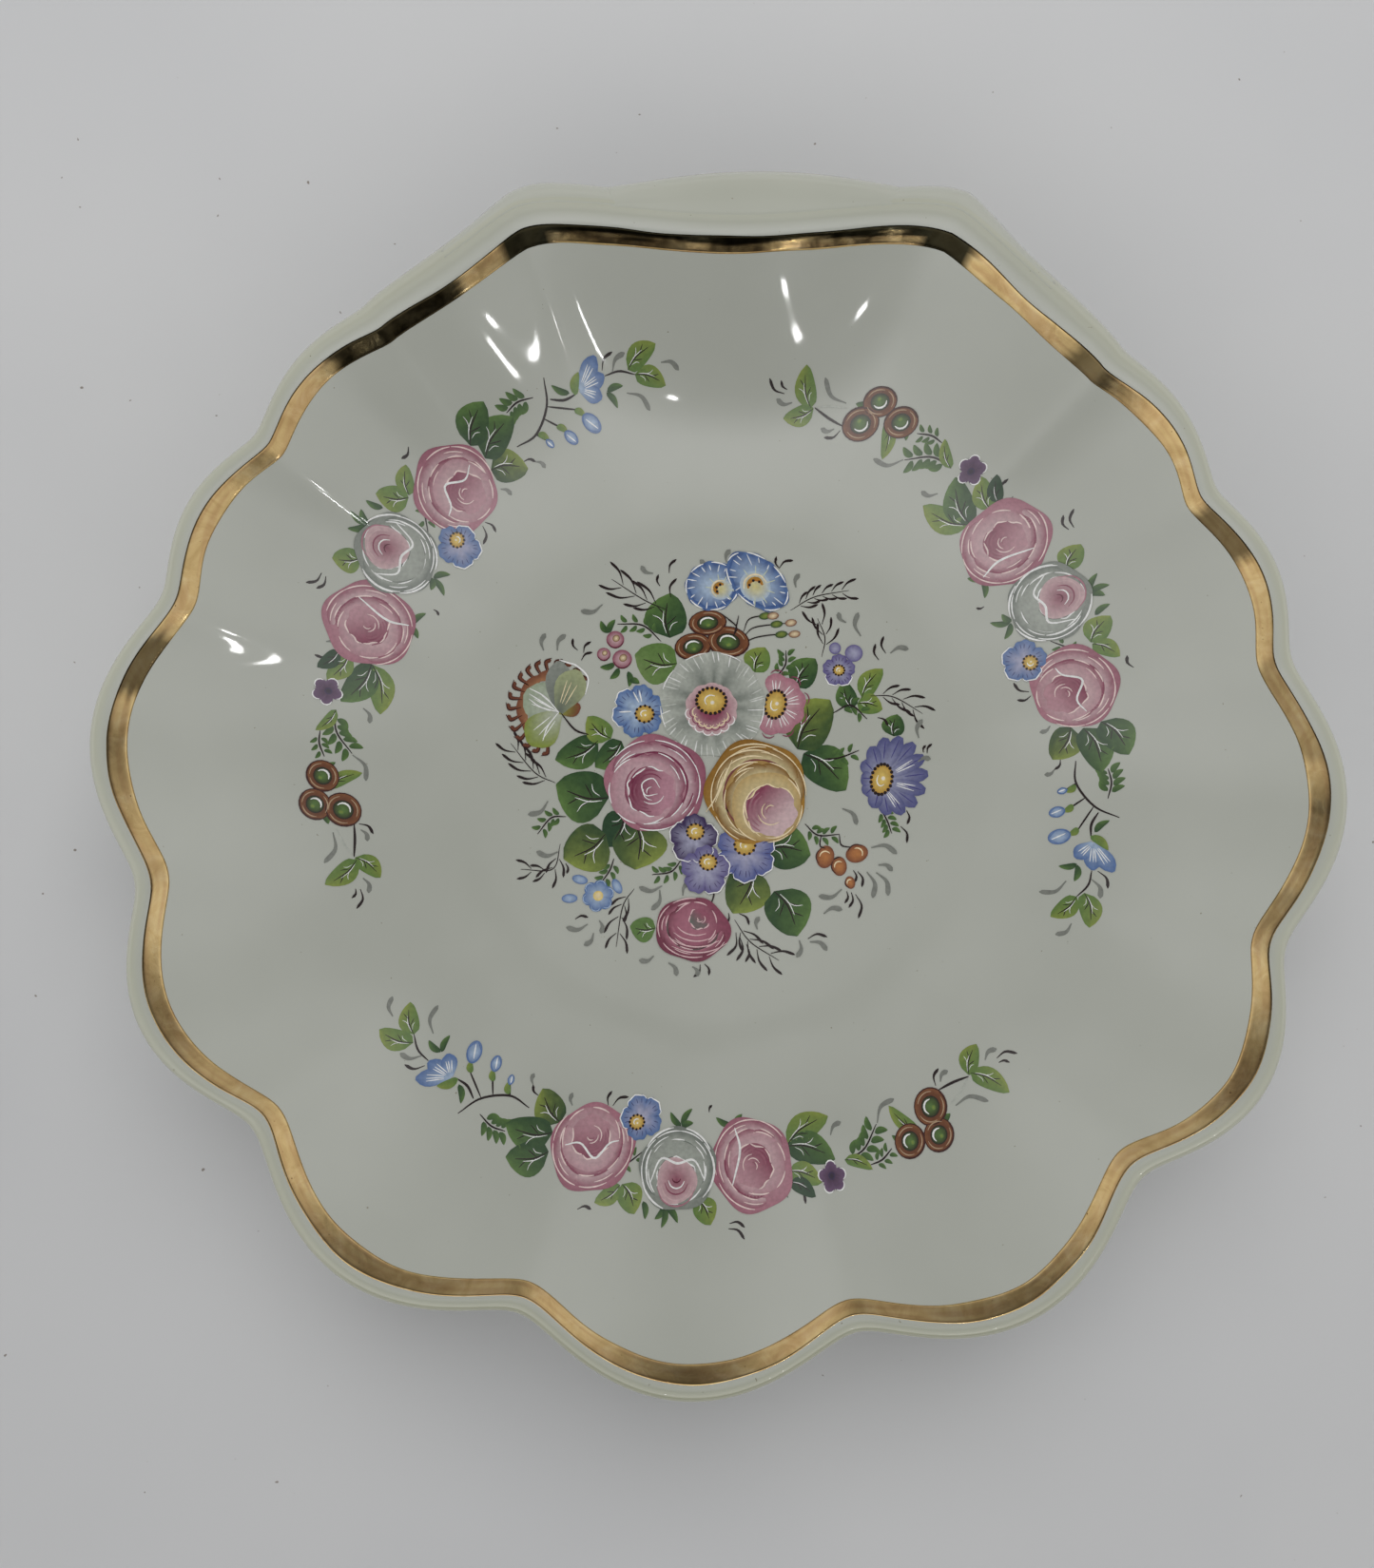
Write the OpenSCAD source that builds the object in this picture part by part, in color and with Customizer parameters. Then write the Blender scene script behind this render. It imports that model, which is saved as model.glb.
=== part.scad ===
// Shell-shaped porcelain serving bowl: a scalloped dish on a round foot, with a gilt line inside
// the rim, a moulded grip with a thumb lug behind the hinge end, and four enamel transfers.
// +Z is up, +Y is the hinge end, and the origin is on the table, in the middle of the bowl's
// length and width.

/* [Bowl] */
// Height of the rim's crest above the table
bowl_h = 52; // [44:1:64]
// Radius of the flat well inside
well_r = 56; // [54.5:0.5:60]
// Thickness of the floor
floor_t = 4.5; // [3.5:0.25:6]
// How far the crest dips at each notch of the scallops
rim_wave = 1.2; // [0:0.2:2]

/* [Rim] */
// Radius of the rounded lip, which is half the wall's thickness
lip_r = 2.2; // [1.8:0.1:2.6]
// Radius of the thicker lip along the hinge end
hinge_lip_r = 4.8; // [2.6:0.1:5.2]
// Width of the gilt line along the wall, as a share of the wall's run
gilt_share = 0.048; // [0.03:0.001:0.06]
// How softly the scallops turn at each notch
notch_soft = 0.25; // [0.1:0.01:0.4]

/* [Foot] */
// Height of the foot ring
foot_h = 6; // [5:0.5:9]
// Outer radius of the foot ring where it joins the bowl
foot_r = 57; // [54:0.5:57.5]
// Width of the foot ring where it joins the bowl
foot_w = 8; // [6:0.5:12]
// Width of the flat that the bowl rests on
foot_flat_w = 3.5; // [2.5:0.5:5]

/* [Hinge end] */
// How far the grip stands out past the lip
grip_out = 2; // [1.5:0.5:5]
// How much further it stands out at its two rounded ears
ear_out = 1; // [0:0.5:4]
// Depth of the grip below the lip
grip_drop = 12; // [8:0.5:14]
// How far the thumb lug stands out past the grip
lug_out = 5.3; // [3:0.1:7]
// Half the angle that the thumb lug takes up
lug_half_angle = 14; // [9:1:16]

/* [Transfers] */
// Thickness of the enamel and gold films
film_t = 0.2; // [0.2:0.05:0.4]
// Radius of the bouquet's film
bouquet_r = 51; // [45:0.5:51]
// Half the angle that each garland takes up
garland_half_angle = 53; // [45:1:55]

/* [Hidden] */

// Corners of the outline: the angle from +X in degrees, and the radius of the lip's centre line.
// First the hinge end's two corners, which differ a little, and then the other corners on the
// +X side, which the -X side mirrors.
hinge_corners = [[70, 128.6], [113, 126.1]];
corners = [[50, 121.4], [33.3, 120], [15.2, 122], [-13.3, 123.5], [-40, 121.5], [-72.7, 119]];
// How far the outline swells between each corner and the next.
swells = [-1.5, 2.3, 3, 8, 8.5, 10];
hinge_swell = -9.8;    // the hinge end is nearly straight
front_swell = 10.8;
column_step = 2.8;     // about the angle between one column of points and the next
hinge_a = 90;          // direction of the hinge end
centre = [0, 0.65, 0]; // the foot and the well stand a little off the middle of the length

floor_z = foot_h + floor_t;      // inside of the well
under_r = well_r + 2;            // flat part of the underside
wall_shares = [0, 0.1, 0.2, 0.3, 0.4, 0.5, 0.6, 0.7, 0.8, 0.9, 1 - gilt_share, 1];
lip_in_a = 130;                  // where the inner wall runs into the lip
lip_turns = [114, 90, 60, 30, 0, -25, -50];
under_shares = [0.9, 0.8, 0.65, 0.5, 0.35, 0.2, 0.1, 0];
bouquet_at = [2.5, 2];           // the bouquet sits a little off the bowl's centre

// The rings of the closed section, in order: inner wall, lip, underside.
n_wall = len(wall_shares);
n_lip = len(lip_turns);
n_under = len(under_shares);
n_rings = n_wall + n_lip + n_under;
gilt_rings = [n_wall - 2, n_wall];
garland_rings = [3, 7];
grip_rings = [n_wall + 4, n_wall + 8];   // from the lip's widest ring down the outside

function smooth(x) = let (t = min(1, max(0, x))) t * t * (3 - 2 * t);
function mix(a, b, s) = a + (b - a) * s;
function reversed(list) = [for (i = [len(list) - 1 : -1 : 0]) list[i]];
function dome(s) = (sqrt(pow(sin(180 * s), 2) + pow(notch_soft, 2)) - notch_soft)
                   / (sqrt(1 + pow(notch_soft, 2)) - notch_soft);
function from_hinge(a) = abs(((a - hinge_a + 540) % 360) - 180);

// The outline as columns [angle, radius, share of the way out of the nearest notch].
all_corners = concat(reversed(corners), hinge_corners,
                     [for (c = corners) [2 * hinge_a - c[0], c[1]]]);
all_swells = concat(reversed(swells), [hinge_swell], swells, [front_swell]);
n_lobes = len(all_corners);
function corner(i) = i < n_lobes ? all_corners[i] : [all_corners[0][0] + 360, all_corners[0][1]];
function columns_in(i) = max(4, round((corner(i + 1)[0] - corner(i)[0]) / column_step));
outline = [for (i = [0 : n_lobes - 1], k = [0 : columns_in(i) - 1])
    let (s = k / columns_in(i))
    [mix(corner(i)[0], corner(i + 1)[0], s),
     mix(corner(i)[1], corner(i + 1)[1], s) + all_swells[i] * dome(s), dome(s)]];
n_cols = len(outline);

function lip(a) = mix(lip_r, hinge_lip_r, smooth((55 - from_hinge(a)) / 25));
function crest(c) = bowl_h - rim_wave * (1 - c[2]) * smooth((from_hinge(c[0]) - 30) / 30);
function rise(s) = 1.6 * s * s - 0.6 * s * s * s;

// [radius, height] of a point on the lip, at a turn from 0 outwards to 90 at the crest.
function lip_point(c, turn) = let (l = lip(c[0]))
    [c[1] + l * cos(turn), crest(c) - l + l * sin(turn)];
// [radius, height] on a wall that rises from a flat of radius r0 at height z0 to a lip point.
function wall_point(r0, z0, end, s) = [mix(r0, end[0], s), z0 + (end[1] - z0) * rise(s)];
function ring_point(k, c) =
    k < n_wall ? wall_point(well_r, floor_z, lip_point(c, lip_in_a), wall_shares[k])
    : k < n_wall + n_lip ? lip_point(c, lip_turns[k - n_wall])
    : wall_point(under_r, foot_h, lip_point(c, lip_turns[n_lip - 1]),
                 under_shares[k - n_wall - n_lip]);
function xyz(a, p) = centre + [p[0] * cos(a), p[0] * sin(a), p[1]];
function shell_point(k, j) = let (c = outline[j % n_cols]) xyz(c[0], ring_point(k, c));

// Columns from one angle round to another, both within the angles given.
function column_at(a) = let (first = outline[0][0], b = first + (a - first + 720) % 360)
    len([for (c = outline) if (c[0] < b) c]);
function columns_between(a0, a1) = let (j0 = column_at(a0), j1 = column_at(a1) - 1)
    [for (j = [j0 : j1 > j0 ? j1 : j1 + n_cols]) j];

// Lifts each point of a grid by t along the surface's own normal.
function grid_normal(g, i, j) =
    let (a = g[max(i - 1, 0)][j], b = g[min(i + 1, len(g) - 1)][j],
         c = g[i][max(j - 1, 0)], d = g[i][min(j + 1, len(g[0]) - 1)],
         n = cross(d - c, b - a))
    n / norm(n);
function lifted(g, t) = [for (i = [0 : len(g) - 1]) [for (j = [0 : len(g[0]) - 1])
    g[i][j] - t * grid_normal(g, i, j)]];

// A closed solid between two grids of rows and columns; a ring joins its last column to its first.
module slab(low, high, ring = false) {
    rows = len(low);
    cols = len(low[0]);
    last = ring ? cols - 1 : cols - 2;
    top = rows * cols;
    function at(i, j) = i * cols + j % cols;
    low_faces = [for (i = [0 : rows - 2], j = [0 : last], h = [0, 1])
        h == 0 ? [at(i, j), at(i + 1, j + 1), at(i + 1, j)]
               : [at(i, j), at(i, j + 1), at(i + 1, j + 1)]];
    high_faces = [for (f = low_faces) [f[0] + top, f[2] + top, f[1] + top]];
    row_edges = [for (j = [0 : last], i = [0, rows - 1], h = [0, 1])
        let (a = at(i, j), b = at(i, j + 1), e = i == 0 ? [a, b] : [b, a])
        h == 0 ? [e[0], e[0] + top, e[1]] : [e[1], e[0] + top, e[1] + top]];
    end_edges = ring ? [] : [for (i = [0 : rows - 2], j = [0, cols - 1], h = [0, 1])
        let (a = at(i, j), b = at(i + 1, j), e = j == 0 ? [b, a] : [a, b])
        h == 0 ? [e[0], e[0] + top, e[1]] : [e[1], e[0] + top, e[1] + top]];
    polyhedron([for (g = [low, high], row = g, p = row) p],
               concat(low_faces, high_faces, row_edges, end_edges));
}

// A film that lies on the inside of the bowl, over some rings and columns.
module film(rings, cols, ring = false) {
    low = [for (k = [rings[0] : rings[1]]) [for (j = cols) shell_point(k, j)]];
    slab(low, lifted(low, film_t), ring);
}

// The scalloped dish: floor, fluted wall and rounded lip in one casting.
module bowl_shell() {
    function at(k, j) = k * n_cols + j % n_cols;
    in_centre = n_rings * n_cols;
    under_centre = in_centre + 1;
    points = concat([for (k = [0 : n_rings - 1], j = [0 : n_cols - 1]) shell_point(k, j)],
                    [xyz(0, [0, floor_z]), xyz(0, [0, foot_h])]);
    faces = concat(
        [for (k = [0 : n_rings - 2], j = [0 : n_cols - 1], h = [0, 1])
            h == 0 ? [at(k, j), at(k + 1, j), at(k + 1, j + 1)]
                   : [at(k, j), at(k + 1, j + 1), at(k, j + 1)]],
        [for (j = [0 : n_cols - 1]) [in_centre, at(0, j), at(0, j + 1)]],
        [for (j = [0 : n_cols - 1]) [under_centre, at(n_rings - 1, j + 1), at(n_rings - 1, j)]]);
    color("ivory") polyhedron(points, [for (f = faces) [f[0], f[2], f[1]]]);
}

// The ring that the bowl stands on.
module foot_ring() {
    mid_r = foot_r - foot_w / 2;
    color("linen") translate(centre) rotate_extrude($fn = 96)
        polygon([[mid_r - foot_flat_w / 2, 0], [mid_r + foot_flat_w / 2, 0],
                 [foot_r - 1, foot_h / 2], [foot_r, foot_h],
                 [foot_r - foot_w, foot_h], [foot_r - foot_w + 1, foot_h / 2]]);
}

// The grip's own grid: rows down the outside of the lip, pushed out past it.
ear_a = 20;              // from the hinge direction to the middle of each ear
grip_end_a = 31;         // and to the grip's ends, where it has run out into the wall
grip_fade_a = 12;
skin = 0.4;              // the least thickness of the grip and the lug
function grip_columns() = columns_between(hinge_a - grip_end_a, hinge_a + grip_end_a);
function grip_base() = [for (k = [grip_rings[0] : grip_rings[1]])
    [for (j = grip_columns()) shell_point(k, j)]];
grip_profile = [[0, 0.02], [0.75, 0.3], [1, 0.6], [0.8, 0.9], [0.1, 1]];
function grip_point(row, j) =
    let (c = outline[j % n_cols], p = grip_profile[row], turn = from_hinge(c[0]),
         out = grip_out + ear_out * exp(-pow((turn - ear_a) / 6, 2)),
         wide = lip_point(c, 0), own = ring_point(grip_rings[0] + row, c) + [skin, 0],
         full = [max(wide[0] + out * p[0], own[0]), wide[1] - grip_drop * p[1]],
         share = smooth((grip_end_a - turn) / grip_fade_a))
    xyz(c[0], own * (1 - share) + full * share);
function grip_face() = [for (row = [0 : len(grip_profile) - 1])
    [for (j = grip_columns()) grip_point(row, j)]];

// The ledge under the hinge end's lip, which fingers hold from behind.
module hinge_grip() {
    color("ivory") slab(grip_face(), grip_base());
}

// The rounded lug in the middle of the grip.
module thumb_lug() {
    cols = columns_between(hinge_a - lug_half_angle, hinge_a + lug_half_angle);
    push = [0.5, 1, 0.6];
    function out(c) = skin + lug_out * (1 - pow(from_hinge(c[0]) / lug_half_angle, 2));
    low = [for (row = [1 : 3]) [for (j = cols) grip_point(row, j)]];
    high = [for (row = [1 : 3]) [for (j = cols)
        let (c = outline[j % n_cols], p = grip_point(row, j), o = out(c) * push[row - 1])
        p + o * [cos(c[0]), sin(c[0]), 0]]];
    color("ivory") slab(high, low);
}

// The line of burnished gold just inside the lip.
module gilt_line() {
    color("goldenrod") film(gilt_rings, [for (j = [0 : n_cols - 1]) j], ring = true);
}

// The bouquet's enamel film, flat on the well.
module bouquet_transfer() {
    color("palevioletred") translate(centre + [bouquet_at[0], bouquet_at[1], floor_z])
        cylinder(r = bouquet_r, h = film_t, $fn = 96);
}

// A garland's enamel film, on the wall round the direction a.
module garland_transfer(a) {
    color("darkseagreen")
        film(garland_rings, columns_between(a - garland_half_angle, a + garland_half_angle));
}

bowl_shell();
foot_ring();
hinge_grip();
thumb_lug();
gilt_line();
bouquet_transfer();
garland_transfer(hinge_a + 180);  // garland_transfer_front
garland_transfer(hinge_a - 60);  // garland_transfer_right
garland_transfer(hinge_a + 60);  // garland_transfer_left
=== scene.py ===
"""Scallop-shaped porcelain serving bowl: glazed shell, burnished gilt line and enamel flowers."""
import math
import random
from bisect import bisect_right

import bpy
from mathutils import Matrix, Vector, noise


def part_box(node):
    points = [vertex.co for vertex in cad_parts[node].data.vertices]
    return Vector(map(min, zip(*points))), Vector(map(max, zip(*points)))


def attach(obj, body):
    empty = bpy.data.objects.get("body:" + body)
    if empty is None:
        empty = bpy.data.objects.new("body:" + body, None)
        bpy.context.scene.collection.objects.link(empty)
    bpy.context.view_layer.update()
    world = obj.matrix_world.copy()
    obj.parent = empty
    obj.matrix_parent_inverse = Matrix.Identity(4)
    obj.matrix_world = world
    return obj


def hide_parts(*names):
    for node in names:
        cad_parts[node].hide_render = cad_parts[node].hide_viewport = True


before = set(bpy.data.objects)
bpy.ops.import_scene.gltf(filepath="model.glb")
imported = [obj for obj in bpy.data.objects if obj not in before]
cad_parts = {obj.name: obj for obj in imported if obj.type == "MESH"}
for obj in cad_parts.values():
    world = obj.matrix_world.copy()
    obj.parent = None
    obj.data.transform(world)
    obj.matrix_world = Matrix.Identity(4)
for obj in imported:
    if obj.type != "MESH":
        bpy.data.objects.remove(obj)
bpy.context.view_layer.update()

# ---------------------------------------------------------------- sizes, in millimetres
# The bowl's own frame has its origin under the middle of the well, on the table.
MM = 0.001
FOOT_LOW, FOOT_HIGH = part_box("foot_ring")
CENTRE = Vector(((FOOT_LOW[0] + FOOT_HIGH[0]) / 2, (FOOT_LOW[1] + FOOT_HIGH[1]) / 2, 0))
RIM_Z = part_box("bowl_shell")[1][2] / MM
UNDER_Z = FOOT_HIGH[2] / MM
FLOOR_T = 4.5
FLOOR_Z = UNDER_Z + FLOOR_T
WELL_R, UNDER_R = 56, 58                # the flat of the floor, inside and underneath
WALL_CURVE = 0.6                        # how much the wall flattens out towards the lip
RIM_WAVE = 1.2                          # how far the crest dips at a notch
LIP_R, HINGE_LIP_R = 2.2, 4.8
LIP_IN_TURN, LIP_OUT_TURN = 130, -50    # where on the lip the wall's two sides meet it
GILT_SHARE = 0.048                      # the gold line's width, as a share of the wall's run
NOTCH_SOFT = 0.25
FOOT_R, FOOT_W, FOOT_FLAT_W = 57, 8, 3.5
GRIP_OUT, EAR_OUT, GRIP_DROP, LUG_OUT = 2, 1, 12, 5.3

# Angles, in degrees. All but the first are counted from the middle of the hinge end.
HINGE_A = 90
LIP_THICK_A, LIP_THIN_A = 30, 55        # the lip is thick up to the one and thin from the other
CREST_LEVEL_A, CREST_WAVY_A = 30, 60
EAR_A, GRIP_END_A, GRIP_FADE_A, LUG_A = 20, 31, 12, 14

# The outline's corners: angle in degrees, radius. The hinge end's two differ a little, and the -X
# side mirrors the others. Then how far the outline swells between one corner and the next.
HINGE_CORNERS = [(70, 128.6), (113, 126.1)]
CORNERS = [(50, 121.4), (33.3, 120), (15.2, 122), (-13.3, 123.5), (-40, 121.5), (-72.7, 119)]
SWELLS = [-1.5, 2.3, 3, 8, 8.5, 10]
HINGE_SWELL, FRONT_SWELL = -9.8, 10.8
ALL_CORNERS = CORNERS[::-1] + HINGE_CORNERS + [(2 * HINGE_A - a, r) for a, r in CORNERS]
ALL_CORNERS.append((ALL_CORNERS[0][0] + 360, ALL_CORNERS[0][1]))
ALL_SWELLS = SWELLS[::-1] + [HINGE_SWELL] + SWELLS + [FRONT_SWELL]
CORNER_ANGLES = [a for a, r in ALL_CORNERS]


# ---------------------------------------------------------------- the bowl's surfaces
def smooth(x):
    """0 below 0, 1 above 1, and a smooth step in between."""
    t = min(1, max(0, x))
    return t * t * (3 - 2 * t)


def mix(a, b, s):
    return a + (b - a) * s


def mix_each(a, b, s):
    return tuple(mix(p, q, s) for p, q in zip(a, b))


def dome(s):
    """A round swell from 0 at one corner to 1 and back to 0 at the next, softened at the notches."""
    peak = math.sqrt(1 + NOTCH_SOFT ** 2) - NOTCH_SOFT
    return (math.hypot(math.sin(math.pi * s), NOTCH_SOFT) - NOTCH_SOFT) / peak


def from_hinge(a):
    """Degrees between the angle a and the middle of the hinge end."""
    return abs((a - HINGE_A + 540) % 360 - 180)


def outline(a):
    """Radius of the lip's centre line at the angle a, and the share of the way out of its notch."""
    a = CORNER_ANGLES[0] + (a - CORNER_ANGLES[0]) % 360
    i = min(bisect_right(CORNER_ANGLES, a), len(ALL_SWELLS)) - 1
    (a0, r0), (a1, r1) = ALL_CORNERS[i], ALL_CORNERS[i + 1]
    s = (a - a0) / (a1 - a0)
    return mix(r0, r1, s) + ALL_SWELLS[i] * dome(s), dome(s)


def lip_radius(a):
    return mix(LIP_R, HINGE_LIP_R, smooth((LIP_THIN_A - from_hinge(a)) / (LIP_THIN_A - LIP_THICK_A)))


def crest(a):
    """Height of the lip's top, which dips a little at each notch away from the hinge end."""
    waves = smooth((from_hinge(a) - CREST_LEVEL_A) / (CREST_WAVY_A - CREST_LEVEL_A))
    return RIM_Z - RIM_WAVE * (1 - outline(a)[1]) * waves


def rise(s):
    """The share of its height that the wall has gained at the share s of its run."""
    return (1 + WALL_CURVE) * s * s - WALL_CURVE * s ** 3


def lip_point(a, turn):
    """(radius, height) on the lip, at a turn from 0 outwards to 90 at the crest."""
    lip, t = lip_radius(a), math.radians(turn)
    return outline(a)[0] + lip * math.cos(t), crest(a) - lip + lip * math.sin(t)


def wall_point(r0, z0, end, s):
    return mix(r0, end[0], s), z0 + (end[1] - z0) * rise(s)


def inside_point(a, s):
    return wall_point(WELL_R, FLOOR_Z, lip_point(a, LIP_IN_TURN), s)


def under_point(a, s):
    return wall_point(UNDER_R, UNDER_Z, lip_point(a, LIP_OUT_TURN), s)


def polar(a, point, lift=0):
    """The bowl-frame point at the angle a and the given (radius, height)."""
    t = math.radians(a)
    return Vector((point[0] * math.cos(t), point[0] * math.sin(t), point[1] + lift))


def glaze_z(x, y):
    """Height of the bowl's inner surface over the point (x, y)."""
    r = math.hypot(x, y)
    if r <= WELL_R:
        return FLOOR_Z
    end_r, end_z = lip_point(math.degrees(math.atan2(y, x)), LIP_IN_TURN)
    return FLOOR_Z + (end_z - FLOOR_Z) * rise((r - WELL_R) / (end_r - WELL_R))


def glaze_normal(x, y, step=0.25):
    dzdx = (glaze_z(x + step, y) - glaze_z(x - step, y)) / (2 * step)
    dzdy = (glaze_z(x, y + step) - glaze_z(x, y - step)) / (2 * step)
    return Vector((-dzdx, -dzdy, 1)).normalized()


def in_row(p):
    """A bowl-frame point in millimetres, as a row-frame point in metres."""
    return CENTRE + Vector(p) * MM


# ---------------------------------------------------------------- making pieces
def add_object(name, data):
    thing = bpy.data.objects.new(name, data)
    bpy.context.scene.collection.objects.link(thing)
    return thing


def new_piece(name, points, faces, material, replaced, slot, tints=None, flat_sides=False):
    """A mesh of bowl-frame points that stands in for the CAD nodes. A slab's points are its outer
    skin's and then its inner skin's; with flat_sides, the faces that join the two stay flat."""
    mesh = bpy.data.meshes.new(name)
    mesh.from_pydata([in_row(p) for p in points], [], faces)
    half = len(points) // 2
    mesh.polygons.foreach_set(
        "use_smooth", [not flat_sides or min(f) >= half or max(f) < half for f in faces])
    if tints:
        layer = mesh.color_attributes.new("tint", "FLOAT_COLOR", "POINT")
        layer.data.foreach_set("color", [v for t in tints for v in (*t, 1)])
    mesh.materials.append(material)
    mesh.validate()
    piece = add_object(name, mesh)
    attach(piece, "root")
    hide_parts(*replaced)
    return piece


def grid_faces(rows, cols, ring=False, start=0, flip=False):
    """Faces of a grid of points; a ring joins its last column to its first."""
    faces = []
    for i in range(rows - 1):
        for j in range(cols if ring else cols - 1):
            k = (j + 1) % cols
            face = (start + i * cols + j, start + i * cols + k,
                    start + (i + 1) * cols + k, start + (i + 1) * cols + j)
            faces.append(face[::-1] if flip else face)
    return faces


def slab_faces(rows, cols, ring=False, start=0):
    """Faces of a closed solid between two such grids, the outer one first."""
    skin = rows * cols
    faces = grid_faces(rows, cols, ring, start) + grid_faces(rows, cols, ring, start + skin, flip=True)
    seams = [(i * cols + p, i * cols + q) for j in range(cols if ring else cols - 1)
             for i, p, q in ((0, (j + 1) % cols, j), (rows - 1, j, (j + 1) % cols))]
    if not ring:
        seams += [(p * cols + j, q * cols + j) for i in range(rows - 1)
                  for j, p, q in ((0, i, i + 1), (cols - 1, i + 1, i))]
    return faces + [(start + a, start + b, start + b + skin, start + a + skin) for a, b in seams]


# ---------------------------------------------------------------- materials
def srgb(red, green, blue):
    """A colour given as it looks on screen, 0 to 255, as linear values."""
    return tuple(v / 12.92 if v <= 0.04045 else ((v + 0.055) / 1.055) ** 2.4
                 for v in (red / 255, green / 255, blue / 255))


def new_material(name, **sockets):
    material = bpy.data.materials.new(name)
    material.use_nodes = True
    shader = material.node_tree.nodes["Principled BSDF"]
    for socket, value in sockets.items():
        shader.inputs[socket.replace("_", " ")].default_value = value
    return material, material.node_tree, shader


def add_node(tree, kind, inputs=None, **settings):
    node = tree.nodes.new(kind)
    for key, value in settings.items():
        setattr(node, key, value)
    for key, value in (inputs or {}).items():
        if isinstance(value, bpy.types.NodeSocket):
            tree.links.new(value, node.inputs[key])
        else:
            node.inputs[key].default_value = value
    return node


def object_noise(tree, scale, detail=2, roughness=0.5, distortion=0):
    place = add_node(tree, "ShaderNodeTexCoord")
    return add_node(tree, "ShaderNodeTexNoise", {
        "Vector": place.outputs["Object"], "Scale": scale, "Detail": detail,
        "Roughness": roughness, "Distortion": distortion}).outputs["Fac"]


def ramp(tree, fac, stops):
    """Colours by position; a colour given as one number is a grey."""
    node = add_node(tree, "ShaderNodeValToRGB", {"Fac": fac})
    elements = node.color_ramp.elements
    while len(elements) < len(stops):
        elements.new(0.5)
    for element, (position, colour) in zip(elements, stops):
        element.position = position
        element.color = (*(colour if isinstance(colour, tuple) else (colour,) * 3), 1)
    return node.outputs["Color"]


def multiply(tree, a, b):
    node = add_node(tree, "ShaderNodeMix", {"Factor": 1.0}, data_type="RGBA", blend_type="MULTIPLY")
    tree.links.new(a, node.inputs["A"])
    tree.links.new(b, node.inputs["B"])
    return node.outputs["Result"]


def painted_tint(tree):
    """The tint that a piece's points carry."""
    return add_node(tree, "ShaderNodeAttribute", attribute_name="tint").outputs["Color"]


def speckled(tree, drift_scale, dark, pale, speck_scale, speck):
    """A colour that drifts slowly from dark to pale, with a few small specks."""
    drift = ramp(tree, object_noise(tree, drift_scale, 3), [(0.3, dark), (0.7, pale)])
    specks = ramp(tree, object_noise(tree, speck_scale, 1), [(0.80, 1.0), (0.82, speck)])
    return multiply(tree, drift, specks)


def add_bump(tree, shader, height, distance, strength=1):
    bump = add_node(tree, "ShaderNodeBump", {"Height": height, "Distance": distance, "Strength": strength})
    tree.links.new(bump.outputs["Normal"], shader.inputs["Normal"])


def porcelain_material():
    """Grey-white porcelain under a clear glaze: slow colour drift, iron specks, a rippled gloss."""
    material, tree, shader = new_material("porcelain_glaze", Roughness=0.2, Coat_Weight=1.0,
                                          Coat_Roughness=0.03, Coat_IOR=1.5)
    body = speckled(tree, 22, (0.485, 0.50, 0.445), (0.525, 0.54, 0.485), 900, (0.6, 0.55, 0.48))
    tree.links.new(multiply(tree, body, painted_tint(tree)), shader.inputs["Base Color"])
    add_bump(tree, shader, object_noise(tree, 60, 2), 0.00025, 0.35)
    return material


def foot_material():
    """The same glaze, worn back to matt biscuit where the ring stands."""
    material, tree, shader = new_material("foot_porcelain", Coat_Roughness=0.05)
    place = add_node(tree, "ShaderNodeTexCoord")
    height = add_node(tree, "ShaderNodeSeparateXYZ", {"Vector": place.outputs["Object"]}).outputs["Z"]
    ragged = add_node(tree, "ShaderNodeMath", {0: object_noise(tree, 300, 3), 1: 0.0012},
                      operation="MULTIPLY_ADD")
    tree.links.new(height, ragged.inputs[2])
    bare = add_node(tree, "ShaderNodeMapRange", {"Value": ragged.outputs["Value"], "From Min": 0.0009,
                                                 "From Max": 0.0014})
    colour = ramp(tree, bare.outputs["Result"], [(0.2, srgb(214, 203, 184)), (0.8, (0.53, 0.545, 0.49))])
    gloss = ramp(tree, bare.outputs["Result"], [(0.2, 0.75), (0.8, 0.12)])
    tree.links.new(colour, shader.inputs["Base Color"])
    tree.links.new(gloss, shader.inputs["Roughness"])
    add_bump(tree, shader, object_noise(tree, 1800, 3), 0.0001, 0.4)
    return material


def gilt_material():
    """Fired bright gold: mirror-like, with brushed streaks and worn specks, and painted dark reflections
    where it is tinted.
    """
    material, tree, shader = new_material("fired_gold", Metallic=1.0)
    brushed = object_noise(tree, 160, 4, 0.6, 1.2)
    gold = ramp(tree, brushed, [(0.3, (0.66, 0.46, 0.20)), (0.5, (0.80, 0.58, 0.27)),
                                (0.72, (0.90, 0.70, 0.37))])
    worn = ramp(tree, object_noise(tree, 1300, 2), [(0.74, 1.0), (0.77, (0.34, 0.27, 0.22))])
    whole = multiply(tree, multiply(tree, gold, worn), painted_tint(tree))
    tree.links.new(whole, shader.inputs["Base Color"])
    gloss = ramp(tree, object_noise(tree, 420, 3), [(0.3, 0.08), (0.75, 0.20)])
    tree.links.new(gloss, shader.inputs["Roughness"])
    add_bump(tree, shader, object_noise(tree, 200, 3, 0.5, 0.8), 0.00006, 0.4)
    return material


PORCELAIN = porcelain_material()
GILT = gilt_material()
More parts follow.
